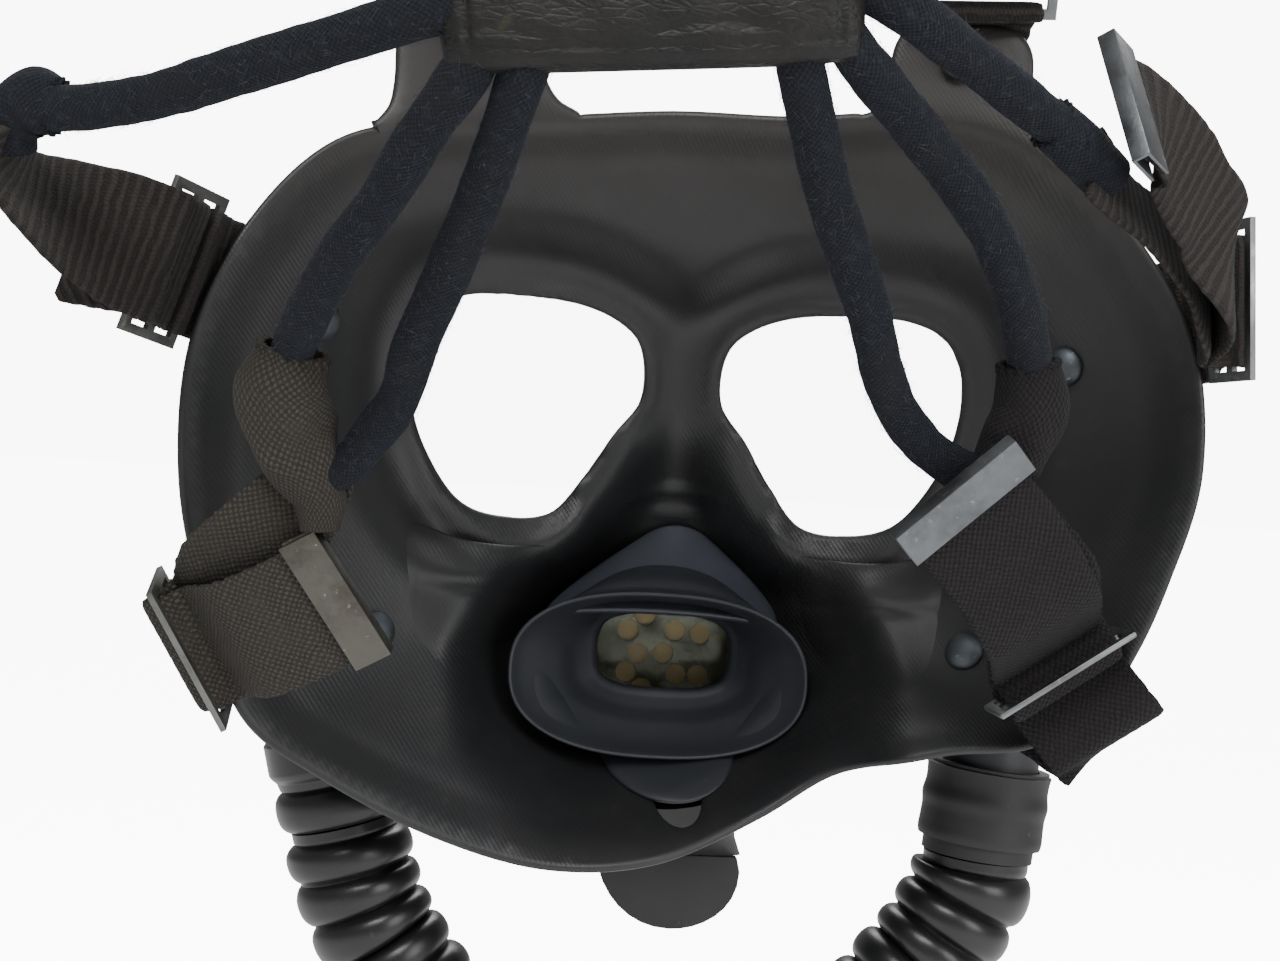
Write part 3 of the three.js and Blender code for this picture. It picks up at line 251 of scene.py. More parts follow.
class Look:
    """A short way of writing a procedural material."""

    def __init__(self, name, color, roughness, metallic=0.0, **shader_values):
        self.material, self.tree, self.shader = new_material(name)
        self.shader.inputs["Base Color"].default_value = (*color, 1)
        self.shader.inputs["Roughness"].default_value = roughness
        self.shader.inputs["Metallic"].default_value = metallic
        for key, value in shader_values.items():
            self.shader.inputs[key.replace("_", " ")].default_value = value
        self.color = None
        self.base = color
        self.last_bump = None

    def node(self, kind, **values):
        node = self.tree.nodes.new("ShaderNode" + kind)
        for key, value in values.items():
            setattr(node, key, value)
        return node

    def link(self, out, into):
        self.tree.links.new(out, into)

    def place(self, source="object", scale=(1, 1, 1), turn=(0, 0, 0)):
        """Coordinates: the object's own metres, or the lay stored with the mesh."""
        if source == "object":
            out = self.node("TexCoord").outputs["Object"]
        else:
            out = self.node("Attribute", attribute_name=source).outputs["Vector"]
        mapping = self.node("Mapping")
        mapping.inputs["Scale"].default_value = scale
        mapping.inputs["Rotation"].default_value = turn
        self.link(out, mapping.inputs["Vector"])
        return mapping.outputs["Vector"]

    def noise(self, scale, detail=4, roughness=0.55, where=None):
        n = self.node("TexNoise")
        n.inputs["Scale"].default_value = scale
        n.inputs["Detail"].default_value = detail
        n.inputs["Roughness"].default_value = roughness
        self.link(where or self.place(), n.inputs["Vector"])
        return n.outputs["Fac"]

    def wave(self, scale, where):
        n = self.node("TexWave", bands_direction="X", wave_profile="SIN")
        n.inputs["Scale"].default_value = scale
        n.inputs["Detail"].default_value = 1
        self.link(where, n.inputs["Vector"])
        return n.outputs["Fac"]

    def cracks(self, scale, where=None):
        n = self.node("TexVoronoi", feature="DISTANCE_TO_EDGE")
        n.inputs["Scale"].default_value = scale
        self.link(where or self.place(), n.inputs["Vector"])
        return n.outputs["Distance"]

    def between(self, value, low, high, out=(0, 1)):
        n = self.node("MapRange", interpolation_type="SMOOTHSTEP")
        n.inputs["From Min"].default_value = low
        n.inputs["From Max"].default_value = high
        n.inputs["To Min"].default_value = out[0]
        n.inputs["To Max"].default_value = out[1]
        self.link(value, n.inputs["Value"])
        return n.outputs["Result"]

    def math(self, operation, a, b):
        n = self.node("Math", operation=operation)
        for socket, value in zip(n.inputs, (a, b)):
            if isinstance(value, (int, float)):
                socket.default_value = value
            else:
                self.link(value, socket)
        return n.outputs["Value"]

    def axis(self, name, where):
        n = self.node("SeparateXYZ")
        self.link(where, n.inputs["Vector"])
        return n.outputs[name]

    def blend(self, mask, color, strength=1.0):
        """Mixes another colour in where the mask is high."""
        n = self.node("Mix", data_type="RGBA")
        if strength != 1.0:
            mask = self.math("MULTIPLY", mask, strength)
        self.link(mask, n.inputs["Factor"])
        if self.color is None:
            n.inputs["A"].default_value = (*self.base, 1)
        else:
            self.link(self.color, n.inputs["A"])
        n.inputs["B"].default_value = (*color, 1)
        self.color = n.outputs["Result"]
        self.link(self.color, self.shader.inputs["Base Color"])

    def patch(self, noise, low, high, color, strength=1.0):
        """Another colour where a noise is high; noise holds the arguments of noise()."""
        self.blend(self.between(self.noise(*noise), low, high), color, strength)

    def rough(self, noise, low, high):
        mask = self.between(self.noise(*noise), 0, 1, (low, high))
        self.link(mask, self.shader.inputs["Roughness"])

    def bump(self, height, distance, strength=1.0):
        n = self.node("Bump")
        n.inputs["Strength"].default_value = strength
        n.inputs["Distance"].default_value = distance
        self.link(height, n.inputs["Height"])
        if self.last_bump is not None:
            self.link(self.last_bump, n.inputs["Normal"])
        self.last_bump = n.outputs["Normal"]
        self.link(self.last_bump, self.shader.inputs["Normal"])

    def grain(self, noise, distance, strength=1.0):
        """A bump of noise; noise holds the arguments of noise()."""
        self.bump(self.noise(*noise), distance, strength)


# ------------------------------------------------------------------ the face as a surface
WALL = 2.6
RIM_INSET = 3.0
EARS_FROM = 80
DISH_DEPTH = 50
DISH_POWER = 2.6
EYE_X, EYE_Z = 41, 17
LENS_DEPTH = 50
PORT = (1, -48.5)
INLETS = ((-50, -37), (50, -37))
OUTLET = (3, -79)
RIVETS = {"temple_left": (-92, 33.7), "temple_right": (92, 33.7), "cheek_left": (-75, -42),
          "cheek_right": (72.6, -38.9)}
RIM = [
    (-8, 14, 88.5), (20, 12, 88.8), (46, 9, 91), (70, 4, 88.5), (86, 0, 78), (103, -4, 60), (115, -7, 38),
    (118, -8, 8), (112, -7, -17), (106, -5, -34), (97, -3, -50), (84, 0, -57.5), (64, 2, -60.5), (42, 5, -68),
    (22, 8, -81), (-4, 10, -92), (-30, 10, -94), (-56, 8, -87.5), (-84, 2, -73.5), (-101, -2, -61),
    (-111.5, -6, -34), (-118, -8, -5), (-117, -7, 27), (-106, -3, 54), (-88, 2, 74), (-62, 8, 81.5),
    (-34, 12, 85.5)]
EYE = [(9.5, 28), (12, 36), (18, 41), (28, 44.5), (42, 45.5), (56, 45), (66, 40.5), (71, 31), (71, 18),
       (67, 5), (57, -9), (46, -12.8), (33, -11), (24.5, -1), (17, 11), (10.5, 20)]
BULGE_DEPTH = [(-94, 0), (-88, 7), (-78, 20), (-65, 32), (-45, 36), (-20, 30), (0, 22), (20, 12), (40, 6),
               (60, 0)]
BULGE_WIDTH = [(-88, 36), (-70, 52), (-45, 57), (-20, 42), (0, 24), (20, 12), (60, 10)]
RIGHT_EAR = [(36, 89.6), (40, 91.6), (42.6, 96), (44, 102), (45.2, 109), (47.5, 112.4), (52, 113.6),
             (60, 114), (68, 113.6), (72.6, 112.2), (75, 108.5), (75.4, 102), (75.2, 96), (76.5, 90),
             (80.5, 84.2)]
LEFT_EAR = [(-80, 79.4), (-76.4, 85), (-75.4, 92), (-75.6, 100), (-75.4, 108), (-73, 112.2), (-68, 113.6),
            (-60, 114), (-52, 113.6), (-47.5, 112.4), (-45.2, 108.5), (-43.6, 101), (-41.6, 94), (-38, 89.2),
            (-33, 86.6)]


def polar(points, centre):
    """Radius and depth of a closed outline by angle about its centre."""
    curve = catmull([(x, y, z) for x, y, z in points], 1440, closed=True)
    angle = np.arctan2(curve[:, 2] - centre[1], curve[:, 0] - centre[0])
    radius = np.hypot(curve[:, 0] - centre[0], curve[:, 2] - centre[1])
    order = np.argsort(angle)
    angle, radius, depth = angle[order], radius[order], curve[order, 1]
    return lambda a: [np.interp(a, angle, row, period=2 * math.pi) for row in (radius, depth)]


rim_at = polar(RIM, (0, 0))
eye_at = polar([(x, 0, z) for x, z in EYE], (EYE_X, EYE_Z))


def lens_plane(x, z, side):
    return LENS_DEPTH - 0.3 * (x * side - EYE_X) - 0.12 * (z - EYE_Z)


def past_eye(x, z, side):
    dx, dz = x * side - EYE_X, z - EYE_Z
    return np.hypot(dx, dz) - eye_at(np.arctan2(dz, dx))[0]


def plain_depth(x, z):
    """Depth of the inner face as the CAD has it."""
    radius, depth = rim_at(np.arctan2(z, x))
    s = np.minimum(1, np.hypot(x, z) / radius)
    y = depth + (DISH_DEPTH - depth) * (1 - s**DISH_POWER)
    bulge = 1 - np.abs(x / ramp(BULGE_WIDTH, z)) ** 3
    y = y + ramp(BULGE_DEPTH, z) * np.maximum(0, bulge)
    for side in (-1, 1):
        flat = 1 - smoothstep(7, 20, past_eye(x, z, side))
        y = y + (lens_plane(x, z, side) - y) * flat
    return y


GRID_LOW = np.array([-140.0, -115.0])
GRID_SIZE = (281, 251)


def softened(values, sigma):
    """A grid of values blurred by a bell curve."""
    reach = int(3 * sigma)
    kernel = np.exp(-0.5 * (np.arange(-reach, reach + 1) / sigma) ** 2)
    kernel /= kernel.sum()
    for axis in (0, 1):
        pad = [(reach, reach) if k == axis else (0, 0) for k in (0, 1)]
        wide = np.pad(values, pad, mode="edge")
        parts = [np.take(wide, np.arange(k, k + values.shape[axis]), axis) * w for k, w in enumerate(kernel)]
        values = sum(parts)
    return values


grid_x, grid_z = [low + np.arange(size) for low, size in zip(GRID_LOW, GRID_SIZE)]
DEPTH_GRID = softened(plain_depth(*np.meshgrid(grid_x, grid_z, indexing="ij")), 2.2)


def on_grid(values, x, z):
    """The value of a millimetre grid between its points."""
    u = np.clip(np.asarray(x, float) - GRID_LOW[0], 0, GRID_SIZE[0] - 1.001)
    v = np.clip(np.asarray(z, float) - GRID_LOW[1], 0, GRID_SIZE[1] - 1.001)
    i, j = u.astype(int), v.astype(int)
    a, b = u - i, v - j
    return (values[i, j] * (1 - a) * (1 - b) + values[i + 1, j] * a * (1 - b)
            + values[i, j + 1] * (1 - a) * b + values[i + 1, j + 1] * a * b)


def seg_distance(x, z, line):
    """Distance to a drawn line and how far along it the nearest point lies, from 0 to 1."""
    line = np.asarray(line, float)
    best = np.full(np.shape(x), 1e9)
    share = np.zeros(np.shape(x))
    lengths = np.linalg.norm(np.diff(line, axis=0), axis=1)
    runs = np.concatenate([[0], np.cumsum(lengths)])
    for k in range(len(line) - 1):
        a, d = line[k], line[k + 1] - line[k]
        t = np.clip(((x - a[0]) * d[0] + (z - a[1]) * d[1]) / d.dot(d), 0, 1)
        dist = np.hypot(x - a[0] - t * d[0], z - a[1] - t * d[1])
        near = dist < best
        best = np.where(near, dist, best)
        share = np.where(near, (runs[k] + t * lengths[k]) / runs[-1], share)
    return best, share


# raised or sunk lines of the moulding: points, half width, height towards the wearer
RELIEF = [
    (catmull([(-58, 8), (-62, -1), (-57, -12), (-47, -19), (-36, -20), (-26, -15), (-18, -8)], 60), 5.0, 2.6),
    (catmull([(-66, -6), (-61, -19), (-49, -29), (-35, -32), (-25, -28)], 50), 7.0, -1.8),
    (catmull([(61, 2), (60, -8), (52, -18), (42, -20), (31, -17), (22, -8)], 60), 5.0, 2.6),
    (catmull([(68, -6), (60, -21), (48, -29), (34, -29), (26, -22)], 50), 7.0, -1.8),
    (catmull([(-14, 16), (-19, 2), (-26, -12), (-34, -26), (-42, -40)], 60), 6.0, 2.0),
    (catmull([(12, 16), (16, 2), (24, -12), (32, -26), (38, -40)], 60), 6.0, 2.0),
    (catmull([(-17, -8.5), (-8, -4.2), (2, -3.0), (10, -4.4), (17, -8.5)], 50), 0.9, 1.3),
    (catmull([(-8, -10.6), (0, -8.8), (8, -9.6)], 40), 0.7, 0.8),
]


def inner_depth(x, z):
    """Depth of the inner face with the moulded lines, the eyepiece lip and the turned rim."""
    x, z = np.asarray(x, float), np.asarray(z, float)
    y = on_grid(DEPTH_GRID, x, z)
    away = np.minimum(past_eye(x, z, -1), past_eye(x, z, 1))
    free = smoothstep(0.5, 5, away)
    for line, width, height in RELIEF:
        dist, share = seg_distance(x, z, line)
        ends = smoothstep(0, 0.15, share) * (1 - smoothstep(0.85, 1, share))
        y = y - height * ends * np.exp(-((dist / width) ** 2)) * free
    y = y - 0.9 * np.exp(-((away / 2.6) ** 2)) * (away > 0)
    radius = rim_at(np.arctan2(z, x))[0]
    edge = radius - np.hypot(x, z)
    y = y - 0.8 * np.exp(-(((edge - 1.5) / 2.2) ** 2))
    y = y + 0.5 * np.exp(-(((edge - 8.5) / 2.0) ** 2))
    return y


def face_normal(x, z):
    step = 0.6
    slope_x = (inner_depth(x + step, z) - inner_depth(x - step, z)) / (2 * step)
    slope_z = (inner_depth(x, z + step) - inner_depth(x, z - step)) / (2 * step)
    return unit(np.stack([-slope_x, np.ones_like(slope_x), -slope_z], -1))


def on_face(x, z, out):
    """Points at a distance out from the inner face, and the normals there."""
    x, z = np.asarray(x, float), np.asarray(z, float)
    radius = rim_at(np.arctan2(z, x))[0]
    inset = np.minimum(1, (radius - RIM_INSET) / np.maximum(np.hypot(x, z), 1e-6))
    inset = np.where(z > EARS_FROM, 1, inset)
    n = face_normal(x * inset, z * inset)
    return np.stack([x, inner_depth(x, z), z], -1) + n * out, n


def circle(centre, radius, count):
    a = full_circle(count)
    return np.stack([centre[0] + radius * np.cos(a), centre[1] + radius * np.sin(a)], 1)


def face_outline():
    """The rim with the two ears let into it, as one loop."""
    a = np.linspace(-math.pi, math.pi, 1600, endpoint=False)
    radius = rim_at(a)[0]
    rim = np.stack([radius * np.cos(a), radius * np.sin(a)], 1)
    right_ear, left_ear = catmull(RIGHT_EAR, 120), catmull(LEFT_EAR, 120)[::-1]
    angle = lambda p: math.atan2(p[1], p[0])
    low = rim[a < angle(right_ear[-1])]
    top = rim[(a > angle(right_ear[0])) & (a < angle(left_ear[0]))]
    rest = rim[a > angle(left_ear[-1])]
    loop = np.vstack([low, right_ear[::-1], top, left_ear, rest])
    return even(np.vstack([loop, loop[:1]]), step=1.5)[0][:-1]


def eye_loop(side):
    a = np.linspace(-math.pi, math.pi, 720, endpoint=False)
    radius = eye_at(a)[0]
    loop = np.stack([side * (EYE_X + radius * np.cos(a)), EYE_Z + radius * np.sin(a)], 1)
    return even(np.vstack([loop, loop[:1]]), step=1.4)[0][:-1]


def inside_loop(points, loop):
    x, z = points[:, 0], points[:, 1]
    inside = np.zeros(len(points), bool)
    for (x0, z0), (x1, z1) in zip(loop, np.roll(loop, -1, 0)):
        if z0 == z1:
            continue
        crosses = (z0 > z) != (z1 > z)
        inside ^= crosses & (x < (x1 - x0) * (z - z0) / (z1 - z0) + x0)
    return inside


def in_sheet(points, outer, holes):
    inside = inside_loop(points, outer)
    for hole in holes:
        inside &= ~inside_loop(points, hole)
    return inside


def clear_of(points, boundary, limit):
    """Which points lie further than a limit from all the boundary points."""
    ok = np.ones(len(points), bool)
    batch = 2000
    for start in range(0, len(points), batch):
        chunk = points[start:start + batch]
        distance = np.sqrt(((chunk[:, None] - boundary[None]) ** 2).sum(-1)).min(1)
        ok[start:start + batch] = distance > limit
    return ok


def triangulated(outer, holes, spacing):
    """Flat triangles inside the outline, and the index of each boundary point."""
    xs = np.arange(-124, 124, spacing)
    zs = np.arange(-98, 118, spacing * 0.866)
    grid_across, grid_up = np.meshgrid(xs, zs)
    grid_across[1::2] += spacing / 2
    points = np.stack([grid_across.ravel(), grid_up.ravel()], 1)
    points = points[in_sheet(points, outer, holes)]
    # points near an edge give way to the points of the edge itself
    loops = [outer, *holes]
    boundary = np.vstack(loops)
    points = points[clear_of(points, boundary, 1.3)]
    edges = []
    start = 0
    for loop in loops:
        n = len(loop)
        edges += [(start + k, start + (k + 1) % n) for k in range(n)]
        start += n
    coords = [Vector(p) for p in np.vstack([boundary, points])]
    verts, _, tris, origin, _, _ = geometry.delaunay_2d_cdt(coords, edges, [], 0, 1e-5, True)
    flat = np.array([tuple(v) for v in verts])
    tris = np.array(tris)
    tris = tris[in_sheet(flat[tris].mean(1), outer, holes)]
    index_of = {old: new for new, olds in enumerate(origin) for old in olds}
    return flat, tris, index_of


def rolled_edge(loop, edge_in, edge_out, outermost, steps):
    """Rings of a rounded edge between the inner and the outer sheet."""
    along = np.roll(edge_in, -1, 0) - np.roll(edge_in, 1, 0)
    across = edge_out - edge_in
    outward = unit(np.cross(along, across))
    centre = loop.mean(0)
    away = np.stack([loop[:, 0] - centre[0], np.zeros(len(loop)), loop[:, 1] - centre[1]], 1)
    sign = np.sign((outward * away).sum(1).mean()) * (1 if outermost else -1)
    outward = outward * sign
    middle, half = (edge_in + edge_out) / 2, across / 2
    reach = (0.62 if outermost else 0.5) * WALL
    angles = [math.pi * s / steps for s in range(1, steps)]
    return [middle - half * math.cos(a) + outward * reach * math.sin(a) for a in angles]


def build_face(spacing=1.9, edge_steps=5):
    """The rubber shell: an inner and an outer sheet joined by a rounded edge round each loop."""
    outer = face_outline()
    holes = [eye_loop(-1), eye_loop(1), circle(PORT, 20, 72)]
    holes += [circle(c, 9.6, 40) for c in INLETS]
    holes += [circle(OUTLET, 7.5, 32)]
    holes += [circle(c, 2.1, 12) for c in RIVETS.values()]
    flat, tris, index_of = triangulated(outer, holes, spacing)
    n = len(flat)
    inner, normal = on_face(flat[:, 0], flat[:, 1], 0)
    outer_sheet = inner + normal * WALL
    # the inner sheet looks back (-y), the outer sheet looks forwards
    a, b, c = flat[tris[:, 0]], flat[tris[:, 1]], flat[tris[:, 2]]
    turn = np.cross(b - a, c - a)
    tris = np.where(turn[:, None] < 0, tris[:, [0, 2, 1]], tris)
    points = [inner, outer_sheet]
    faces = [*tris.tolist(), *(tris[:, ::-1] + n).tolist()]
    total = 2 * n
    start = 0
    for k, loop in enumerate([outer, *holes]):
        m = len(loop)
        ids = np.array([index_of[start + i] for i in range(m)])
        start += m
        rings = [ids]
        for ring in rolled_edge(loop, inner[ids], outer_sheet[ids], k == 0, edge_steps):
            points.append(ring)
            rings.append(np.arange(total, total + m))
            total += m
        rings.append(ids + n)
        for r0, r1 in zip(rings, rings[1:]):
            faces += np.stack([r0, np.roll(r0, -1), np.roll(r1, -1), r1], 1).tolist()
    obj = piece("facepiece", P(np.vstack(points)), faces)
    with edited(obj.data) as bm:
        bmesh.ops.recalc_face_normals(bm, faces=bm.faces)
    return facing_out(obj)


# ------------------------------------------------------------------ looks
def rubber_look():
    look = Look("face_rubber", (0.0088, 0.0092, 0.0102), 0.5, Specular_IOR_Level=0.5)
    # painted light: the upper part of the face, towards the brow, is blended to a lighter brown-grey that
    # stands for light reflecting there
    painted_brow_light = look.between(look.axis("Z", look.place()), -0.085, -0.015)
    look.blend(painted_brow_light, (0.0165, 0.0138, 0.0118), 0.75)
    blotch = look.between(look.noise(22, 5), 0.45, 0.72)
    look.blend(blotch, (0.0185, 0.0175, 0.0165), 0.5)
    dust = look.between(look.noise(160, 6, 0.7), 0.58, 0.8)
    look.blend(dust, (0.045, 0.042, 0.036), 0.3)
    look.rough((40, 4), 0.38, 0.6)
    rib = look.wave(330, look.place(turn=(0, math.radians(35), 0)))
    crossrib = look.wave(300, look.place(turn=(0, math.radians(-55), 0)))
    knit = look.math("MULTIPLY", rib, look.math("ADD", look.math("MULTIPLY", crossrib, 0.5), 0.5))
    patchy = look.between(look.noise(26, 3), 0.35, 0.65, (0.25, 1))
    look.bump(look.math("MULTIPLY", knit, patchy), 0.00016, 0.3)
    look.grain((900, 3), 0.0001, 0.35)
    look.grain((14, 3), 0.0012, 0.3)
    return look.material


def smooth_rubber(name, color, low, high, mark=(0.06, 0.045, 0.035)):
    look = Look(name, color, (low + high) / 2, Specular_IOR_Level=0.5)
    look.patch((30, 5), 0.5, 0.75, tuple(c * 1.7 for c in color), 0.6)
    look.patch((260, 3, 0.7), 0.66, 0.74, mark, 0.5)
    look.rough((55, 4), low, high)
    look.grain((1100, 3), 0.00006, 0.4)
    look.grain((35, 3), 0.0006, 0.2)
    return look.material


def webbing_look(name, dark, light, fluff, ribbed=False):
    look = Look(name, dark, 0.95, Specular_IOR_Level=0.2, Sheen_Weight=0.03, Sheen_Roughness=0.6)
    where = look.place("lay")
    u, v = look.axis("X", where), look.axis("Y", where)
    wander = look.math("MULTIPLY", look.noise(0.22, 3, 0.6, where), 1.6)
    u = look.math("ADD", u, wander)
    v = look.math("ADD", v, wander)
    wale, pick = (2.6, 1.0) if ribbed else (1.75, 1.55)
    wu = look.math("SINE", look.math("MULTIPLY", u, 2 * math.pi / pick), 0)
    wv = look.math("SINE", look.math("MULTIPLY", v, 2 * math.pi / wale), 0)
    weave = look.between(look.math("MULTIPLY", wu, wv), -1, 1)
    if ribbed:
        rib = look.between(wv, -0.9, 0.9)
        weave = look.math("ADD", look.math("MULTIPLY", rib, 0.75), look.math("MULTIPLY", weave, 0.25))
    thread = look.noise(5.0, 3, 0.6, look.place("lay", scale=(1, 0.4, 1)))
    look.blend(look.between(weave, 0.35, 0.95), light, 0.75)
    look.blend(look.between(thread, 0.5, 0.75), tuple(c * 1.5 for c in light), 0.5)
    look.patch((0.09, 4, 0.6, where), 0.45, 0.7, fluff, 0.5)
    look.bump(weave, 0.0007, 0.9)
    look.grain((3.5, 5, 0.75, where), 0.0005, 0.75)
    return look.material


def cord_look():
    look = Look("cord_knit", (0.0072, 0.0080, 0.0102), 0.96, Specular_IOR_Level=0.2, Sheen_Weight=0.05,
                Sheen_Roughness=0.55, Sheen_Tint=(0.35, 0.42, 0.6, 1))
    lay = look.place("lay")
    along = look.axis("Y", lay)
    round_ = look.axis("X", lay)
    rows = look.math("SINE", look.math("MULTIPLY", along, 2 * math.pi / 1.15), 0)
    wales = look.math("SINE", look.math("MULTIPLY", round_, 2 * math.pi * 24), 0)
    knit = look.between(look.math("MULTIPLY", rows, wales), -1, 1)
    look.blend(look.between(knit, 0.45, 1), (0.0150, 0.0172, 0.0225), 0.7)
    look.patch((420, 5, 0.75), 0.5, 0.72, (0.027, 0.030, 0.040), 0.6)
    look.patch((48, 5, 0.65), 0.5, 0.72, (0.012, 0.012, 0.0125), 0.7)
    look.patch((900, 2, 0.6), 0.70, 0.76, (0.085, 0.085, 0.085), 0.5)
    look.bump(knit, 0.0004, 0.7)
    look.grain((1300, 5, 0.8), 0.0007, 0.8)
    look.grain((110, 4, 0.7), 0.0005, 0.4)
    return look.material


def metal_look(name, color, tarnish, roughness=0.42):
    look = Look(name, color, roughness, 1.0)
    look.patch((70, 6, 0.7), 0.40, 0.72, tarnish, 0.6)
    look.patch((420, 4, 0.7), 0.62, 0.74, (0.50, 0.50, 0.48), 0.45)
    look.patch((75, 5, 0.7), 0.62, 0.78, (0.095, 0.048, 0.024), 0.6)
    look.rough((160, 4), roughness - 0.1, roughness + 0.24)
    look.grain((600, 4, 0.7), 0.00012, 0.6)
    return look.material


def painted_look():
    look = Look("dark_paint", (0.030, 0.033, 0.034), 0.42)
    chips = look.between(look.noise(190, 4, 0.7), 0.66, 0.7)
    look.patch((30, 4), 0.45, 0.75, (0.05, 0.054, 0.053), 0.6)
    look.blend(chips, (0.30, 0.29, 0.26), 0.8)
    look.rough((80, 4), 0.34, 0.56)
    look.grain((700, 3), 0.00008, 0.5)
    return look.material


def leather_look():
    look = Look("pad_leather", (0.0040, 0.0034, 0.0030), 0.5, Specular_IOR_Level=0.30)
    crack = look.cracks(520, look.place(scale=(0.45, 1, 1.3)))
    crack = look.between(crack, 0.0, 0.2)
    worn = look.between(look.noise(38, 5, 0.65), 0.42, 0.68)
    look.blend(worn, (0.0092, 0.0072, 0.0058), 0.8)
    look.patch((70, 5, 0.7), 0.6, 0.74, (0.034, 0.038, 0.017), 0.6)
    look.patch((240, 4, 0.75), 0.66, 0.78, (0.085, 0.066, 0.045), 0.5)
    look.rough((60, 4), 0.38, 0.72)
    look.bump(crack, 0.00018, 0.4)
    look.grain((130, 5, 0.65), 0.0009, 0.7)
    look.grain((700, 3), 0.0002, 0.5)
    return look.material


def film_look():
    look = Look("film", (0.135, 0.135, 0.080), 0.3, Coat_Weight=0.6, Coat_Roughness=0.08)
    look.patch((210, 5, 0.6), 0.42, 0.7, (0.045, 0.052, 0.034), 0.85)
    look.patch((330, 5, 0.6), 0.55, 0.75, (0.24, 0.24, 0.16), 0.7)
    look.grain((240, 4, 0.6), 0.0008, 0.6)
    return look.material


def clear_film_look():
    look = Look("clear_film", (0.93, 0.95, 0.88), 0.08, Transmission_Weight=1.0, IOR=1.2,
                Specular_IOR_Level=0.7)
    look.grain((170, 4, 0.65), 0.0012, 0.5)
    look.bump(look.cracks(160), 0.0008, 0.4)
    return look.material


def disc_look():
    look = Look("tan_disc", (0.66, 0.50, 0.28), 0.8)
    look.patch((420, 4, 0.7), 0.5, 0.7, (0.62, 0.50, 0.32), 0.6)
    return look.material


def glass_look():
    look = Look("eye_glass", (0.9, 0.93, 0.92), 0.06, Alpha=0.05, Specular_IOR_Level=0.35)
    look.grain((60, 3), 0.0002, 0.1)
    return look.material


RUBBER = rubber_look()
# partly painted sheen: the cup rubber is the cup's own blue-grey, with its base colour raised lighter than
# the face to stand for sheen of light; the chin pad and the elbows share it
CUP = smooth_rubber("cup_rubber", (0.0190, 0.0210, 0.0262), 0.44, 0.58)
# painted sheen: a lighter, bluer copy of the cup rubber that stands for the blue-grey sheen of light on the
# roof of the cup
HOOD_PAINTED_SHEEN = smooth_rubber("hood_painted_sheen", (0.0360, 0.0400, 0.0500), 0.34, 0.46, (0.09, 0.05, 0.035))
HOSE = smooth_rubber("hose_rubber", (0.0058, 0.0060, 0.0066), 0.27, 0.42, (0.03, 0.03, 0.028))
TAPE = smooth_rubber("tape", (0.0095, 0.0094, 0.0092), 0.5, 0.7, (0.05, 0.047, 0.038))
FLAP = smooth_rubber("flap_rubber", (0.0075, 0.0077, 0.0085), 0.42, 0.6)
WEB_OLIVE = webbing_look("webbing_olive", dark=(0.025, 0.0215, 0.018), light=(0.072, 0.066, 0.054),
                         fluff=(0.046, 0.040, 0.032))
WEB_BROWN = webbing_look("webbing_brown", dark=(0.014, 0.0115, 0.0108), light=(0.040, 0.034, 0.030),
                         fluff=(0.024, 0.020, 0.019), ribbed=True)
WEB_DARK = webbing_look("webbing_dark", dark=(0.0085, 0.0072, 0.0080), light=(0.020, 0.017, 0.0182),
                        fluff=(0.015, 0.0122, 0.0138))
CORD = cord_look()
STEEL = metal_look("steel", (0.17, 0.175, 0.165), (0.050, 0.043, 0.032), 0.46)
BRIGHT = metal_look("bright_steel", (0.22, 0.23, 0.235), (0.085, 0.080, 0.072), 0.40)
TIP_LEFT = metal_look("old_tip", (0.105, 0.100, 0.088), (0.034, 0.027, 0.019), 0.42)
TIP_RIGHT = metal_look("grey_tip", (0.150, 0.158, 0.165), (0.070, 0.072, 0.074), 0.40)
RIVET = metal_look("rivet_metal", (0.105, 0.118, 0.130), (0.045, 0.05, 0.055), 0.5)
PAINT = painted_look()
LEATHER = leather_look()
FILM = film_look()
CLEAR = clear_film_look()
TAN = disc_look()
GLASS = glass_look()


# ------------------------------------------------------------------ placing pieces
def stand(obj, body, slot, *nodes):
    """The piece rides on a body and stands for CAD nodes; slot is not used."""
    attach(obj, body)
    if nodes:
        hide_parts(*nodes)
    return obj


def keep(node, material):
    """A CAD node stays as it is, with a better material."""
    mesh = NODES[node].data
    mesh.materials.clear()
    mesh.materials.append(material)


def bevelled(node, body, slot, material, width, segments=2, angle=30):
    """A CAD shape with its flat facets merged and its edges rounded."""
    name = node + "_finished"
    mesh = NODES[node].data.copy()
    mesh.name = name
    mesh.materials.clear()
    mesh.materials.append(material)
    with edited(mesh) as bm:
        bmesh.ops.remove_doubles(bm, verts=bm.verts, dist=1e-6)
        bmesh.ops.dissolve_limit(bm, angle_limit=math.radians(1.5), verts=bm.verts, edges=bm.edges)
        inner = [e for e in bm.edges if len(e.link_faces) == 2]
        sharp = [e for e in inner if e.calc_face_angle() > math.radians(angle)]
        bmesh.ops.bevel(bm, geom=sharp, offset=width * MM, offset_type="OFFSET", segments=segments,
                        profile=0.5, affect="EDGES", clamp_overlap=True)
        bmesh.ops.triangulate(bm, faces=[f for f in bm.faces if len(f.verts) > 4])
        for face in bm.faces:
            face.smooth = True
    obj = bpy.data.objects.new(name, mesh)
    bpy.context.scene.collection.objects.link(obj)
    split_normals(obj)
    return stand(obj, body, slot, node)


def split_normals(obj, angle=40):
    """Smooth shading that stays crisp over real corners."""
    with edited(obj.data) as bm:
        for e in bm.edges:
            e.smooth = len(e.link_faces) != 2 or e.calc_face_angle() < math.radians(angle)


def shell(name, near, far, material, slot):
    """A thin closed piece on the root body, between two grids of points."""
    rows, ring = near.shape[0], 2 * near.shape[1]
    verts = np.concatenate([near, far[:, ::-1]], 1).reshape(-1, 3)
    faces = closed_ends(grid_faces(rows, ring), rows, ring)
    return stand(facing_out(piece(name, P(verts), faces, material)), "root", slot)


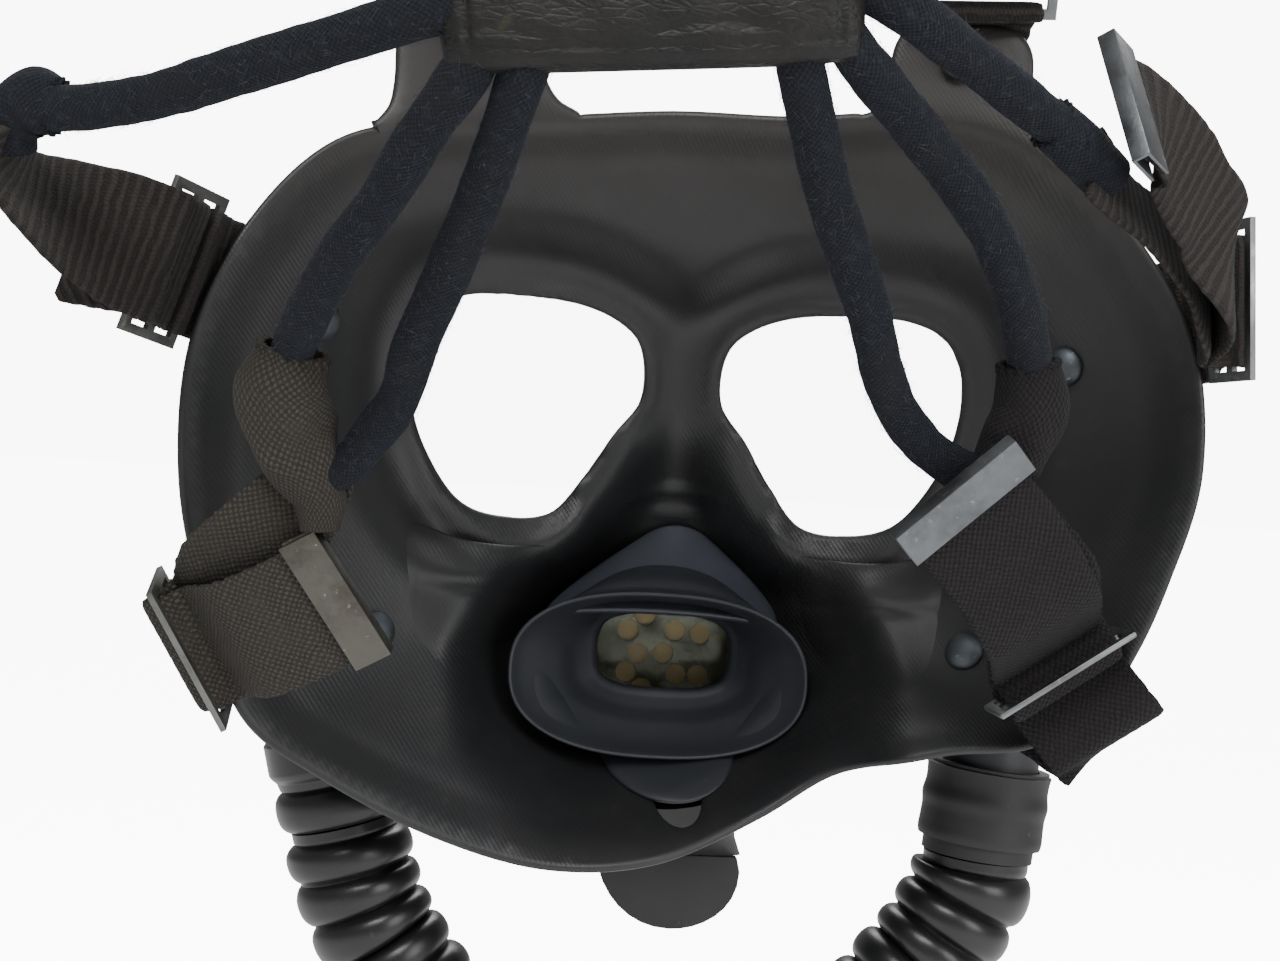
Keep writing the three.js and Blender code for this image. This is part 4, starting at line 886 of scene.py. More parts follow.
def lathe(name, start, axis, rows, sides, material):
    """A turned piece about an axis; rows are (distance along the axis, radius) in millimetres."""
    axis = unit(axis)
    u = unit(np.cross(axis, (0.31, 0.2, 0.93)))
    v = np.cross(axis, u)
    angle = full_circle(sides)
    ring = u[None] * np.cos(angle)[:, None] + v[None] * np.sin(angle)[:, None]
    closed = rows[0][1] > 0
    body = rows if closed else rows[1:-1]
    verts = [np.asarray(start)[None] + axis * along + ring * radius for along, radius in body]
    verts = np.vstack(verts)
    faces = grid_faces(len(body), sides, wrap_rows=closed).tolist()
    if not closed:
        n = len(verts)
        poles = [np.asarray(start) + axis * rows[k][0] for k in (0, -1)]
        verts = np.vstack([verts, poles])
        last = (len(body) - 1) * sides
        faces += [[n, (j + 1) % sides, j] for j in range(sides)]
        faces += [[n + 1, last + j, last + (j + 1) % sides] for j in range(sides)]
    obj = facing_out(piece(name, P(verts), faces, material))
    split_normals(obj, 50)
    return obj


def pipe(name, line, outer, inner, sides, material, slot, node):
    """A hollow tube with open ends round a line in millimetres; outer and inner are radii by row."""
    rows = len(line)
    u, v = frames_along(line)[1:]
    around = spokes(u, v, full_circle(sides))
    skins = [line[:, None] + around * np.broadcast_to(r, (rows,))[:, None, None] for r in (outer, inner)]
    verts = np.concatenate([skins[0], skins[1][::-1]]).reshape(-1, 3)
    obj = facing_out(piece(name, P(verts), grid_faces(2 * rows, sides, wrap_rows=True), material))
    split_normals(obj, 45)
    return stand(obj, "root", slot, node)


# ------------------------------------------------------------------ facepiece and eyepieces
face = build_face()
face.data.materials.append(RUBBER)
stand(face, "root", "face_rubber", "facepiece_body")
for node in ("lens_left", "lens_right"):
    keep(node, GLASS)
for node, width in (("eyepiece_rim_left", 0.4), ("eyepiece_rim_right", 0.4), ("diaphragm_housing", 0.5),
                    ("diaphragm_cover", 0.5)):
    bevelled(node, "root", "painted_metal", PAINT, width)


# ------------------------------------------------------------------ mouth cup and speech diaphragm
LIP = {"x": -2.7, "y": 46.0, "z": -51.0, "wide": 38.6, "high": 21.0}
WINDOW = {"x": -0.5, "y": 66.0, "z": -46.4, "wide": 17.6, "high": 9.8}
CUP_SIDES = 144
CUP_ANGLES = full_circle(CUP_SIDES)


def oval(x, y, z, wide, high, squareness):
    """A ring between an ellipse (2) and a rectangle; all ovals have the same angles, so rings match."""
    c, s = np.cos(CUP_ANGLES), np.sin(CUP_ANGLES)
    across = np.sign(c) * np.abs(c) ** (2 / squareness) * wide
    up_ = np.sign(s) * np.abs(s) ** (2 / squareness) * high
    return np.stack([x + across, np.full(CUP_SIDES, float(y)), z + up_], 1)


def port_ring(radius):
    """A ring round the port that lies just inside the face."""
    x = PORT[0] + radius * np.cos(CUP_ANGLES)
    z = PORT[1] + radius * np.sin(CUP_ANGLES)
    return np.stack([x, inner_depth(x, z) - 0.3, z], 1)


def lip_ring(x, y, z, wide, high, squareness):
    """An oval given by its differences from the lip."""
    return oval(LIP["x"] + x, LIP["y"] + y, LIP["z"] + z, LIP["wide"] + wide, LIP["high"] + high, squareness)


def window_ring(y, wide, high, squareness):
    """An oval given by its differences from the window."""
    return oval(WINDOW["x"], WINDOW["y"] + y, WINDOW["z"], WINDOW["wide"] + wide, WINDOW["high"] + high,
                squareness)


def cup_rings():
    """The section of the cup: up its outside, over the lip, and down its inside to the port."""
    return [
        port_ring(22.6),
        oval(-0.8, 66, -44.0, 25.0, 21.5, 2.1),
        oval(-1.2, 60, -45.2, 27.0, 21.5, 2.15),
        oval(-1.9, 53, -47.6, 31.5, 21.6, 2.2),
        lip_ring(0, 4, 1.2, -2.2, -0.3, 2.25),
        lip_ring(0, 1.6, 0.3, -0.1, 0.4, 2.3),
        lip_ring(0, 0.4, 0, 0.45, 0.45, 2.4),
        lip_ring(0, -0.2, 0, 0, 0, 2.4),
        lip_ring(0, 0.2, 0, -0.6, -0.6, 2.4),
        lip_ring(0, 2, 0, -1.4, -1.2, 2.4),
        lip_ring(0.5, 6, 0.5, -6.0, -2.6, 2.4),
        oval(-1.4, 57, -49.2, 27.4, 15.8, 2.5),
        oval(-0.9, 62, -47.6, 22.4, 12.8, 2.9),
        window_ring(-1.6, 2.0, 1.9, 3.1),
        window_ring(-1.2, 0.9, 0.9, 3.2),
        window_ring(0, 0, 0, 3.4),
        window_ring(4, 0.1, 0.1, 3.4),
        port_ring(20.6)]


def mouth_cup():
    rings = np.array(cup_rings())
    dense = []
    for a, b in zip(rings, rings[1:]):
        dense.append(a)
        if np.linalg.norm(b - a, axis=1).max() > 3:
            dense += [a + (b - a) * k / 3 for k in (1, 2)]
    dense.append(rings[-1])
    dense = np.array(dense)
    for _ in range(2):
        soft = (dense[:-2] + dense[2:]) / 2
        span = np.linalg.norm(dense[2:] - dense[:-2], axis=2, keepdims=True)
        dense[1:-1] += (soft - dense[1:-1]) * 0.35 * (span > 2.5)
    # the lower part of the lip stands out towards the wearer, clear of the face
    low = np.clip((-44 - dense[..., 2]) / 16, 0, 1)
    dense[..., 1] -= 3.4 * low * (dense[..., 1] < 60)
    faces = grid_faces(len(dense), CUP_SIDES, wrap_rows=True)
    obj = facing_out(piece("mouth_cup_finished", P(dense.reshape(-1, 3)), faces, CUP))
    return stand(obj, "root", "cup_rubber", "mouth_cup")


mouth_cup()
bevelled("guard_plate", "root", "film", FILM, 0.2)
keep("speech_diaphragm", CLEAR)
BACKING = [(89.5, 0), (89.5, 23), (90.1, 23), (90.1, 0)]
backing = lathe("guard_backing", (PORT[0], 0, PORT[1]), (0, 1, 0), BACKING, 64, TAN)
stand(backing, "root", "film")

# ------------------------------------------------------------------ chin outlet
bevelled("outlet_neck", "root", "face_rubber", FLAP, 0.4)
for node in ("outlet_flap_rear", "outlet_flap_front"):
    bevelled(node, node, "face_rubber", FLAP, 0.3)

# ------------------------------------------------------------------ elbows, cuffs and hoses
HOSE_Y = 45.0
HOSES = {
    "left": {
        "side": -1, "top": (-88.2, HOSE_Y, -68.5), "end": (-81.6, HOSE_Y, -92.5),
        "path": [(-77.6, -107), (-71.6, -120), (-62.5, -132.5), (-53, -146), (-46, -162), (-41, -182),
                 (-36, -205), (-29.5, -230), (-23.5, -252), (-21, -270)]},
    "right": {
        "side": 1, "top": (85.6, HOSE_Y, -68.5), "end": (83.2, HOSE_Y, -93),
        "path": [(79.6, -106), (72.4, -118.5), (62.5, -131), (53, -145), (46, -161), (41, -181), (36, -204),
                 (29.5, -229), (23.5, -251), (21, -270)]},
}
Y_TOP = -286
PITCH = 9.8
COLLAR, SPIGOT = 3, 17


def ridge(phase, low, high):
    """Radius of the corrugation by phase, 0 to 1, over one rib."""
    return low + (high - low) * np.sqrt(np.clip(1 - np.abs(2 * (phase % 1) - 1) ** 2.3, 0, 1))


def hose_piece(side, hose):
    """A corrugated hose with its route, its length in metres and the point where it starts."""
    end, top = np.array(hose["end"]), np.array(hose["top"])
    down = unit(end - top)
    route = [end + down * 0.4, end + down * 5, *[(x, HOSE_Y, z) for x, z in hose["path"]],
             (hose["side"] * 21, HOSE_Y, Y_TOP + 6), (hose["side"] * 21, HOSE_Y, Y_TOP + 0.4)]
    line = catmull(route, 900)
    line, at = even(line, step=0.62)
    length = at[-1]
    ribbed = length - COLLAR - SPIGOT
    phase = (at - COLLAR) / ribbed * round(ribbed / PITCH)
    radius = ridge(phase, 12.4, 16.3)
    tail = smoothstep(length - 17.5, length - 16, at)
    radius = radius * (1 - tail) + 16.2 * tail
    radius = np.where(at < COLLAR, 13.6, radius)
    inner = np.maximum(radius - 2.2, 11.75) - 0.1
    sag = 1 + 0.012 * wobble(3 + hose["side"], at, 60)
    obj = pipe(f"hose_{side}", line, radius * sag, inner, 56, HOSE, "hose_rubber", f"breathing_hose_{side}")
    return obj, P(line[::12].tolist() + [line[-1].tolist()]), length * MM, P(line[0])


clamps = {side: bevelled(f"hose_clamp_{side}", "root", "steel", STEEL, 0.25) for side in HOSES}
wye = bevelled("y_piece", "root", "painted_metal", PAINT, 0.6)
nut = bevelled("coupling_nut", "coupling_nut", "steel", STEEL, 0.5)
gasket = bevelled("coupling_gasket", "root", "face_rubber", FLAP, 0.2)
for side, hose in HOSES.items():
    obj, path, length, exit_point = hose_piece(side, hose)
    tuple(exit_point)
    [tuple(p) for p in path]


def elbow_piece(side, hose):
    """The bent pipe from the inlet of the face down to the top of the cuff."""
    x, z = INLETS[side == "right"]
    point, normal = (row[0] for row in on_face(np.array([x]), np.array([z]), 0))
    top, end = np.array(hose["top"]), np.array(hose["end"])
    down = unit(end - top)
    a, b, c, d = point + normal * (WALL + 4.2), point + normal * 36, top - down * 26, top
    t = np.linspace(0, 1, 40)[:, None]
    bend = a * (1 - t) ** 3 + 3 * b * t * (1 - t) ** 2 + 3 * c * t**2 * (1 - t) + d * t**3
    straight = np.array([top + down * s for s in (3, 8, 8.9, 9.1, 13, 14, 20, 24)])
    line = np.vstack([bend, straight])
    # the narrow ring near the end is the seat of the valve
    before = np.linalg.norm(end - line, axis=1)
    inner = np.where((before > 11.5) & (before < 15.95) & (np.arange(len(line)) > 39), 8.2, 10.5)
    outer = np.full(len(line), 12.5)
    outer[:4] = (14.2, 13.6, 13.0, 12.7)
    pipe(f"elbow_{side}", line, outer, inner, 48, CUP, "cup_rubber", f"inlet_elbow_{side}")


def cuff_piece(side, hose):
    """The end of the hose over the elbow: bare and ribbed on the left, taped on the right."""
    top, end = np.array(hose["top"]), np.array(hose["end"])
    down = unit(end - top)
    length = np.linalg.norm(end - top)
    at = np.linspace(1, length, 90)
    line = top + down * at[:, None]
    if side == "left":
        radius = np.interp(at, [1, 2, 9.5, 10.5, 12, 14.0, 14.6], [15.2, 16.0, 16.2, 15.8, 14.6, 14.2, 13.6])
        ribbed = ridge((at - 14.6) / (length - 14.6), 13.4, 16.4)
        radius = np.where(at > 14.6, ribbed, radius)
        material = HOSE
    else:
        wrap = 16.1 + 0.35 * wobble(5, at, 9)
        radius = np.where(at < length - 3.5, wrap, 14.4)
        radius = np.where(at < 2, 15.6, radius)
        material = TAPE
    pipe(f"cuff_{side}", line, radius, 12.95, 64, material, "hose_rubber", f"hose_cuff_{side}")


for side, hose in HOSES.items():
    elbow_piece(side, hose)
    cuff_piece(side, hose)
    keep(f"inlet_valve_{side}", FILM)

# ------------------------------------------------------------------ air ducts, chin pad and hood of the cup
DUCTS = {
    -1: {"mouth": [(-73, -14), (-66, -15.5), (-56, -18.5), (-46, -19.5), (-37, -19.5), (-29, -19)],
         "foot": [(-70, -46), (-65, -52), (-57, -55.5), (-48, -56), (-41, -53), (-35, -47)]},
    1: {"mouth": [(72, -15), (65, -16.5), (55, -18.5), (46, -19), (36, -18.5), (28, -18)],
        "foot": [(68, -46), (64, -52), (56, -55.5), (47, -56), (40, -53), (34, -47)]},
}


def smooth_rows(values, passes=8):
    """Rounds the corners of a height profile."""
    for _ in range(passes):
        values[:, 1:-1] += (values[:, :-2] + values[:, 2:] - 2 * values[:, 1:-1]) * 0.25
    return values


def duct_piece(side, columns=96, rows=84):
    """A moulded pouch under the eye that leads the air from the inlet up to the lens."""
    mouth = catmull(DUCTS[side]["mouth"], columns)
    foot = catmull(DUCTS[side]["foot"], columns)
    s = np.linspace(0, 1, columns)[:, None]
    t = np.linspace(0, 1, rows)[None]
    flat = mouth[:, None] * (1 - t[..., None]) + foot[:, None] * t[..., None]
    across = np.sin(np.pi * s) ** 2.3
    knots = [0, 0.04, 0.12, 0.22, 0.34, 0.48, 0.62, 0.8, 1]
    rise = smooth_rows(np.interp(t, knots, [3.6, 5.4, 7.0, 7.0, 5.6, 4.4, 2.8, 0.4, -0.6]))
    crease = 1.1 * np.exp(-(((t - 0.36 - 0.07 * np.cos(2 * np.pi * s)) / 0.05) ** 2)) * across
    height = (rise + 0.6) * across - 0.6 - crease
    base = inner_depth(flat[..., 0], flat[..., 1])
    near = np.stack([flat[..., 0], base - height, flat[..., 1]], -1)
    thin = np.minimum(1.5, np.maximum(0.25, height + 0.9))
    far = near + np.stack([np.zeros_like(thin), thin, np.zeros_like(thin)], -1)
    shell("air_duct_left" if side < 0 else "air_duct_right", near, far, RUBBER, "face_rubber")


def chin_pad(columns=72, rows=30):
    """The smooth half-moon under the lip that shields the outlet from inside."""
    a = np.linspace(0, math.pi, columns)[:, None]
    t = np.linspace(0, 1, rows)[None]
    x = 0.6 + 18.0 * np.cos(a) * t
    z = -69.5 - 12.8 * np.sin(a) * t
    rise = 6.2 * np.sqrt(np.clip(1 - t**4, 0, 1)) - 0.6
    near = np.stack([x, inner_depth(x, z) - rise, z], -1)
    # the chin pad takes the cup rubber, whose lighter base colour is partly painted sheen
    shell("chin_pad", near, near + np.array([0, 1.6, 0]), CUP, "cup_rubber")


def cup_hood(columns=96, rows=48):
    """The smooth roof of the mouth cup, from the lip up to the nose."""
    s = np.linspace(-1, 1, columns)[:, None]
    t = np.linspace(0, 1, rows)[None]
    half = 31.0 * np.sqrt(1 - 0.80 * t**1.7)
    x = -2.4 + 4.4 * t + half * s
    fall = 1 - np.sqrt(1.0001 - 0.96 * s**2)
    z = -34.4 + 22.0 * t - fall * (4.0 + 11.0 * t)
    y = 50.5 + 23.5 * t**0.9 + 3.4 * np.abs(s) ** 2.4 * (1 - t) + 2.0 * s**2 * t
    near = np.stack([x, y, z], -1)
    # the hood takes the lighter copy of the cup rubber, a painted sheen
    shell("cup_hood", near, near + np.array([0, 1.2, -1.2]), HOOD_PAINTED_SHEEN, "cup_rubber")


duct_piece(-1)
duct_piece(1)
chin_pad()
cup_hood()

# ------------------------------------------------------------------ harness cords
CORDS = {
    "cheek_left": [
        (-43, -107, 80), (-44.9, -105, 73.6), (-49, -95, 60.9), (-53.4, -84, 49.4), (-59.5, -70, 35.5),
        (-64.4, -60, 24.6), (-67.9, -50, 13.3), (-73.4, -44, 5.6), (-79.5, -40.5, -1.5), (-87, -40, -3.5),
        (-92.5, -42.5, 3), (-92.6, -46, 13), (-90.7, -50, 22.5), (-86.3, -62, 30.3), (-79.7, -74, 40.9),
        (-71.9, -84, 50.2), (-62.8, -98, 63.3), (-56.1, -105, 72.3), (-53, -107, 78)],
    "cheek_right": [
        (6, -107, 86), (7.1, -105, 79.7), (11, -97, 70.4), (16.4, -86, 58.7), (22.5, -76, 48.3),
        (28.9, -66, 37.3), (35.3, -54, 23.7), (41.2, -46, 15.7), (50, -41, 8.5), (59, -40, 5),
        (66.5, -41, 9.5), (69, -44, 19),
        (67.8, -48, 28.2), (64.3, -56, 36.1), (57.7, -66, 47.5), (47.9, -76, 59.1), (36.1, -86, 69),
        (24.8, -97, 77.1), (16.5, -105, 83.4), (12, -107, 88)],
    "temple_left": [
        (-56, -108, 85.5), (-65.8, -107, 82.7), (-81.4, -100, 78.3), (-99.4, -90, 73.7), (-118.1, -80, 69),
        (-133.8, -70, 67.5), (-141, -65, 67.8)],
    "temple_right": [(12, -107, 97), (25.4, -105, 91.8), (39.4, -94, 86.5), (56.5, -82, 79), (67, -75, 74.2)],
    "forehead_left": [(-48, -107, 126), (-50, -104, 136), (-53, -90, 146), (-57, -68, 149)],
    "forehead_right": [(2, -107, 130), (7, -104, 140), (20, -90, 148), (37, -70, 150)],
}
CORD_RADIUS = 4.8
CORD_SIDES = 40


def fluff(name, line, radius, count, seed, material, longest):
    """Short stray fibres that stand off a cord or an edge."""
    r = np.random.default_rng(seed)
    t, u, v = frames_along(line)
    verts, faces = [], []
    for _ in range(count):
        k = r.integers(0, len(line))
        a = r.uniform(0, 2 * math.pi)
        out = u[k] * math.cos(a) + v[k] * math.sin(a)
        root = line[k] + out * (radius - 0.15)
        bend = t[k] * r.normal(0, 1.0) + np.cross(out, t[k]) * r.normal(0, 0.8)
        size = r.uniform(0.3, 1.0) * longest
        pts = [root, root + (out * 0.45 + bend * 0.35) * size * 0.6, root + (out * 0.5 + bend * 0.9) * size]
        side_ = unit(np.cross(pts[2] - pts[0], r.normal(size=3))) * 0.05
        up_ = unit(np.cross(pts[2] - pts[0], side_)) * 0.05
        base = len(verts)
        for p, w in zip(pts, (1, 0.8, 0.3)):
            verts += [p + side_ * w, p - side_ * 0.5 * w + up_ * w, p - side_ * 0.5 * w - up_ * w]
        for s in (0, 3):
            for q in range(3):
                q2 = (q + 1) % 3
                faces.append([base + s + q, base + s + q2, base + s + 3 + q2, base + s + 3 + q])
        faces += [[base + 2, base + 1, base], [base + 6, base + 7, base + 8]]
    return piece(name, P(verts), faces, material)


def fiber_look():
    look = Look("fibre", (0.030, 0.034, 0.048), 0.9)
    look.patch((200, 2), 0.5, 0.7, (0.09, 0.09, 0.095), 0.6)
    return look.material


FIBER = fiber_look()
for n, (name, route) in enumerate(CORDS.items()):
    line, at = even(catmull(route, 500), step=0.7)
    angle = full_circle(CORD_SIDES)[None]
    lump = 0.15 * wobble(40 + n, at, 26)[:, None] + 0.12 * np.sin(angle * 2 + at[:, None] / 13 + n)
    pucker = 0.12 * np.sin(angle * 3 - at[:, None] / 2.9) * wobble(50 + n, at, 15)[:, None]
    radius = CORD_RADIUS - 0.1 + lump + pucker
    obj = tube(f"cord_{name}_knit", P(line), radius * MM, CORD_SIDES, CORD)
    stand(obj, "root", "cord_knit", f"cord_{name}")
    hairs = fluff(f"cord_{name}_fluff", line, CORD_RADIUS, int(at[-1] * 9), 90 + n, FIBER, 1.9)
    stand(hairs, "root", "cord_knit")

# ------------------------------------------------------------------ harness webbing
WEB_WIDTH, WEB_THICK = 30.0, 1.8
TAB_THICK = 1.4
TAB_GAP = 1.7
TAB_STEP = 4
TAB_ROUND_BAR = 2.35
STRAIGHT_END = 9
BAR = {"middle": 8, "free": 16, "bar": 2.5}
THROUGH = [(6.4, -7), (5.1, -3), (4.9, 1), (8, 4.4), (11.2, 1), (11.3, -3), (11.6, -7)]
AROUND = [(22, -8), (16, -6.2), (9, -4), (4.7, 0), (9, 4), (16, 6.2), (22, 7.6)]
AROUND_SHORT = [*AROUND[:5], (13, 6.2)]
LEGS = {
    "cheek_left": {
        "free": (-114, -18, -47.8), "across": (0.46, 0.28, -0.84), "reach": (-0.05, -1, -0.1),
        "fold": THROUGH,
        "strap": [(-85, -33.5, -2.2), (-88.5, -36, -9), (-96, -31, -19), (-103.5, -22, -30)],
        "ways": [(1, 0.1, -0.15), (1, 0.15, -0.3), (0.85, 0.2, -0.5), (0.7, 0.25, -0.7)],
        "tail": [(-100.5, -25, -41.7), (-90.2, -30, -36.7), (-77, -34, -29.1)], "tip": True},
    "cheek_right": {
        "free": (88, -18, -39.9), "across": (0.82, 0, 0.57), "reach": (0, -1, 0), "fold": THROUGH,
        "strap": [(62.5, -33, 3.5), (66, -36, -3), (72, -32, -12), (79.5, -24, -23)],
        "ways": [(1, 0, 0.1), (1, 0, 0.3), (0.9, 0, 0.45), (0.85, 0, 0.52)],
        "tail": [(78.5, -30, -27), (68.4, -40, -15), (52.1, -52, 1.2)], "tip": True,
        "rim": (97, -51),
        "wrap": [(102.5, 1, -55.5, 0.3), (102.5, -5, -56.5, 0.6), (98.5, -9.5, -53, 1)]},
    "temple_left": {
        "free": (-126.5, -23, 43.6), "across": (-0.3, 0, -0.953), "reach": (-0.5, -0.86, 0.15),
        "fold": AROUND_SHORT,
        "strap": [(-147, -61, 66), (-150.5, -54, 58), (-145.5, -47, 51)],
        "ways": [(-0.3, -0.9, -0.2), (-0.15, -0.95, -0.25), (-0.2, -0.8, -0.55)],
        "tail": [(-134, -18, 43.5), (-148.5, -14, 33)], "tip": False, "point": 15},
    "temple_right": {
        "free": (121.5, -30, 48.6), "across": (-0.06, 0, 1), "reach": (0.2, -0.98, 0), "fold": THROUGH,
        "wrap": [(119.4, -5, 45.4, 0.1)],
        "strap": [(73.5, -70, 70.5), (84.7, -59, 64), (99.1, -48, 56), (109.5, -36, 49)],
        "ways": [(0.4, 0.5, 0.76), (0.25, 0.75, 0.6), (0.2, 0.7, 0.68), (0.05, 0.3, 0.95)],
        "tail": [(110.5, -48, 53), (101, -57, 65.5), (89, -65, 77.5), (77, -77.5, 83)],
        "last": (-0.13, 0.5, 0.85), "tip": True},
    "forehead_left": {
        "free": (-62, -3, 131), "across": (-1, 0, 0.06), "reach": (0, -0.45, 0.9), "fold": AROUND,
        "strap": [(-58.2, -60, 150.5), (-60, -44, 152), (-62, -26, 148)],
        "ways": [(-1, 0, 0), (-1, 0, 0), (-1, 0, 0)],
        "tail": [(-62, 4, 150), (-62, 6, 160)], "tip": False},
    "forehead_right": {
        "free": (62, -3, 131), "across": (-1, 0, -0.06), "reach": (0, -0.45, 0.9), "fold": AROUND,
        "strap": [(43, -62, 151.5), (52, -44, 152), (60, -26, 148)],
        "ways": [(-0.95, 0.3, 0), (-0.97, 0.2, 0), (-1, 0, 0)],
        "tail": [(62, 4, 150), (62, 6, 160)], "tip": False},
}
WEB_LOOKS = {"cheek_left": WEB_OLIVE, "cheek_right": WEB_DARK}


def buckle_axes(leg):
    """Along the bars, across them, out of the buckle, and the middle of its hinge bar."""
    w = unit(leg["across"])
    p = np.array(leg["reach"], float)
    p = unit(p - w * p.dot(w))
    hinge = np.array(leg["free"]) - p * BAR["free"]
    return w, p, np.cross(w, p), hinge


def laid_piece(name, ring, faces, material, lay):
    """A piece from a grid of points in millimetres with the lay of its weave."""
    return piece(name, P(ring.reshape(-1, 3)), faces, material, attributes={"lay": lay.reshape(-1, 3)})


def web_solid(name, centre, way, lift, width, thick, material, seed, columns=34, ragged=0.35):
    """A strip of webbing from rows of centre, width way and outward way, with soft sides and uneven edges."""
    rows = len(centre)
    run = run_along(centre)
    s = np.linspace(-1, 1, columns)
    frayed = [0.5 * wobble(seed + k, run, 5.0) + 0.3 * wobble(seed + 9 + k, run, 1.9) for k in (0, 1)]
    edges = [ragged * wander[:, None] for wander in frayed]
    half = np.broadcast_to(np.asarray(width, float), (rows,)) / 2
    across = s[None] * half[:, None] + np.where(s[None] > 0, *edges) * np.abs(s[None]) ** 8
    puff = np.sqrt(np.clip(1 - np.abs(s) ** 14, 0.05, 1))[None]
    sway = 0.25 * wobble(seed + 20, run, 22)[:, None] * (s[None] ** 2) * np.sign(s)[None]
    cockle = 0.07 * np.sin(across * 2 * math.pi / 3.1) * np.sin(run[:, None] * 2 * math.pi / 3.1)
    top = sway + thick / 2 * puff + cockle
    low = sway - thick / 2 * puff + cockle
    line = lambda off: centre[:, None] + way[:, None] * across[..., None] + lift[:, None] * off[..., None]
    ring = np.concatenate([line(top), line(low)[:, ::-1]], 1)
    lay = np.zeros(ring.shape)
    lay[..., 0] = np.concatenate([across, across[:, ::-1]], 1)
    lay[..., 1] = run[:, None]
    lay[..., 2] = np.concatenate([np.ones_like(across), -np.ones_like(across)], 1)
    n = 2 * columns
    faces = closed_ends(grid_faces(rows, n), rows, n)
    return facing_out(laid_piece(name, ring, faces, material, lay))


def strap_rows(leg):
    """Centre, way, lift and width of a strap: from its cord through the buckle to its tail."""
    w, p, n, hinge = buckle_axes(leg)
    fold = [hinge + p * a + n * b for a, b in leg["fold"]]
    tail = [np.array(q, float) for q in leg["tail"]]
    straight = tail[-1] + unit(tail[-2] - tail[-1]) * STRAIGHT_END
    points = np.array([*leg["strap"], *fold, *tail[:-1], straight, tail[-1]])
    last = unit(leg.get("last", w))
    turning = [w + (last - w) * ((k + 1) / len(tail)) ** 3 for k in range(len(tail) - 1)]
    ways = np.array([*leg["ways"], *[w] * len(fold), *turning, last, last])
    count = (len(points) - 1) * 14 + 1
    centre = catmull(points, count, power=0)
    way = catmull(ways, count, power=0)
    tangent = unit(np.gradient(centre, axis=0))
    way = unit(way - tangent * (way * tangent).sum(1, keepdims=True))
    share = np.linspace(0, 1, count)
    width = np.interp(share, [0, 0.06, 0.2, 1], [17, 19, WEB_WIDTH, WEB_WIDTH])
    if leg.get("point"):
        left = np.linalg.norm(centre - centre[-1], axis=1)
        width = np.where(share > 0.6, np.minimum(width, 2.5 + (WEB_WIDTH - 2.5) * left / leg["point"]), width)
    return centre, way, np.cross(tangent, way), width


def tab_from_rivet(start, goal, hinge, w):
    """Rows of centre, way and lift from a rivet over the face towards the buckle, and the way across."""
    heading = goal - start
    length = np.linalg.norm(heading)
    heading = heading / length
    across = np.array([heading[1], 0, -heading[0]])
    bar_way = (w * np.sign(w.dot(across))) * (1, 0, 1)
    rows = []
    along = -5.0
    while along <= length:
        at = start + heading * along
        spot, normal = on_face(np.array([at[0]]), np.array([at[1]]), WALL + TAB_GAP + TAB_THICK / 2)
        off = spot[0] - hinge
        off -= w * off.dot(w)
        past_rim = np.hypot(*at) > rim_at(math.atan2(at[1], at[0]))[0] - 1.5
        if past_rim or np.linalg.norm(off) < 6.5:
            break
        across = unit(across + (bar_way - across) * 0.3)
        rows.append((spot[0], unit(across - normal[0] * across.dot(normal[0])), unit(normal[0])))
        along += TAB_STEP
    return rows, across


def tab_on_ear(side):
    """Rows of centre, way and lift up an ear of the face, and the way across."""
    across = np.array([1, 0, -0.06 * side])
    points = ((58.5, 12.6, 96), (59.5, 12.2, 104), (61, 12, 112))
    return [(np.array([side * x, y, z]), unit(across), np.array([0.0, 1, 0])) for x, y, z in points], across


def tab_rows(name, leg):
    """Centre, way and lift of a tab: from its rivet over the face and round the bar of the buckle."""
    w, _, _, hinge = buckle_axes(leg)
    if name in RIVETS:
        goal = np.array(leg.get("rim", (hinge[0], hinge[2])), float)
        rows, across = tab_from_rivet(np.array(RIVETS[name], float), goal, hinge, w)
    else:
        rows, across = tab_on_ear(np.sign(hinge[0]))
    w = w * np.sign(w.dot(across) or 1)
    for x, y, z, turn in leg.get("wrap", []):
        point = np.array([x, y, z], float)
        run = unit(point - rows[-1][0])
        way = across * (1 - turn) + w * turn
        way = unit(way - run * way.dot(run))
        lift = np.cross(way, run)
        lift = lift * np.sign(lift.dot(rows[-1][2]))
        rows.append((point, unit(way), unit(lift)))
    lead = rows[-1][0] - hinge
    lead = unit(lead - w * lead.dot(w))
    lift = np.cross(w, lead)
    lift = lift * np.sign(lift.dot(rows[-1][2]))
    for degrees in (70, 110, 150, 190, 230, 270):
        a = math.radians(degrees)
        ray = lead * math.cos(a) + lift * math.sin(a)
        rows.append((hinge + ray * TAB_ROUND_BAR, unit(w), unit(ray)))
    count = (len(rows) - 1) * 7 + 1
    centre, ways, lifts = [catmull(np.array(column), count, power=0) for column in zip(*rows)]
    way = unit(ways)
    lift = unit(lifts - way * (lifts * way).sum(1, keepdims=True))
    return centre, way, lift


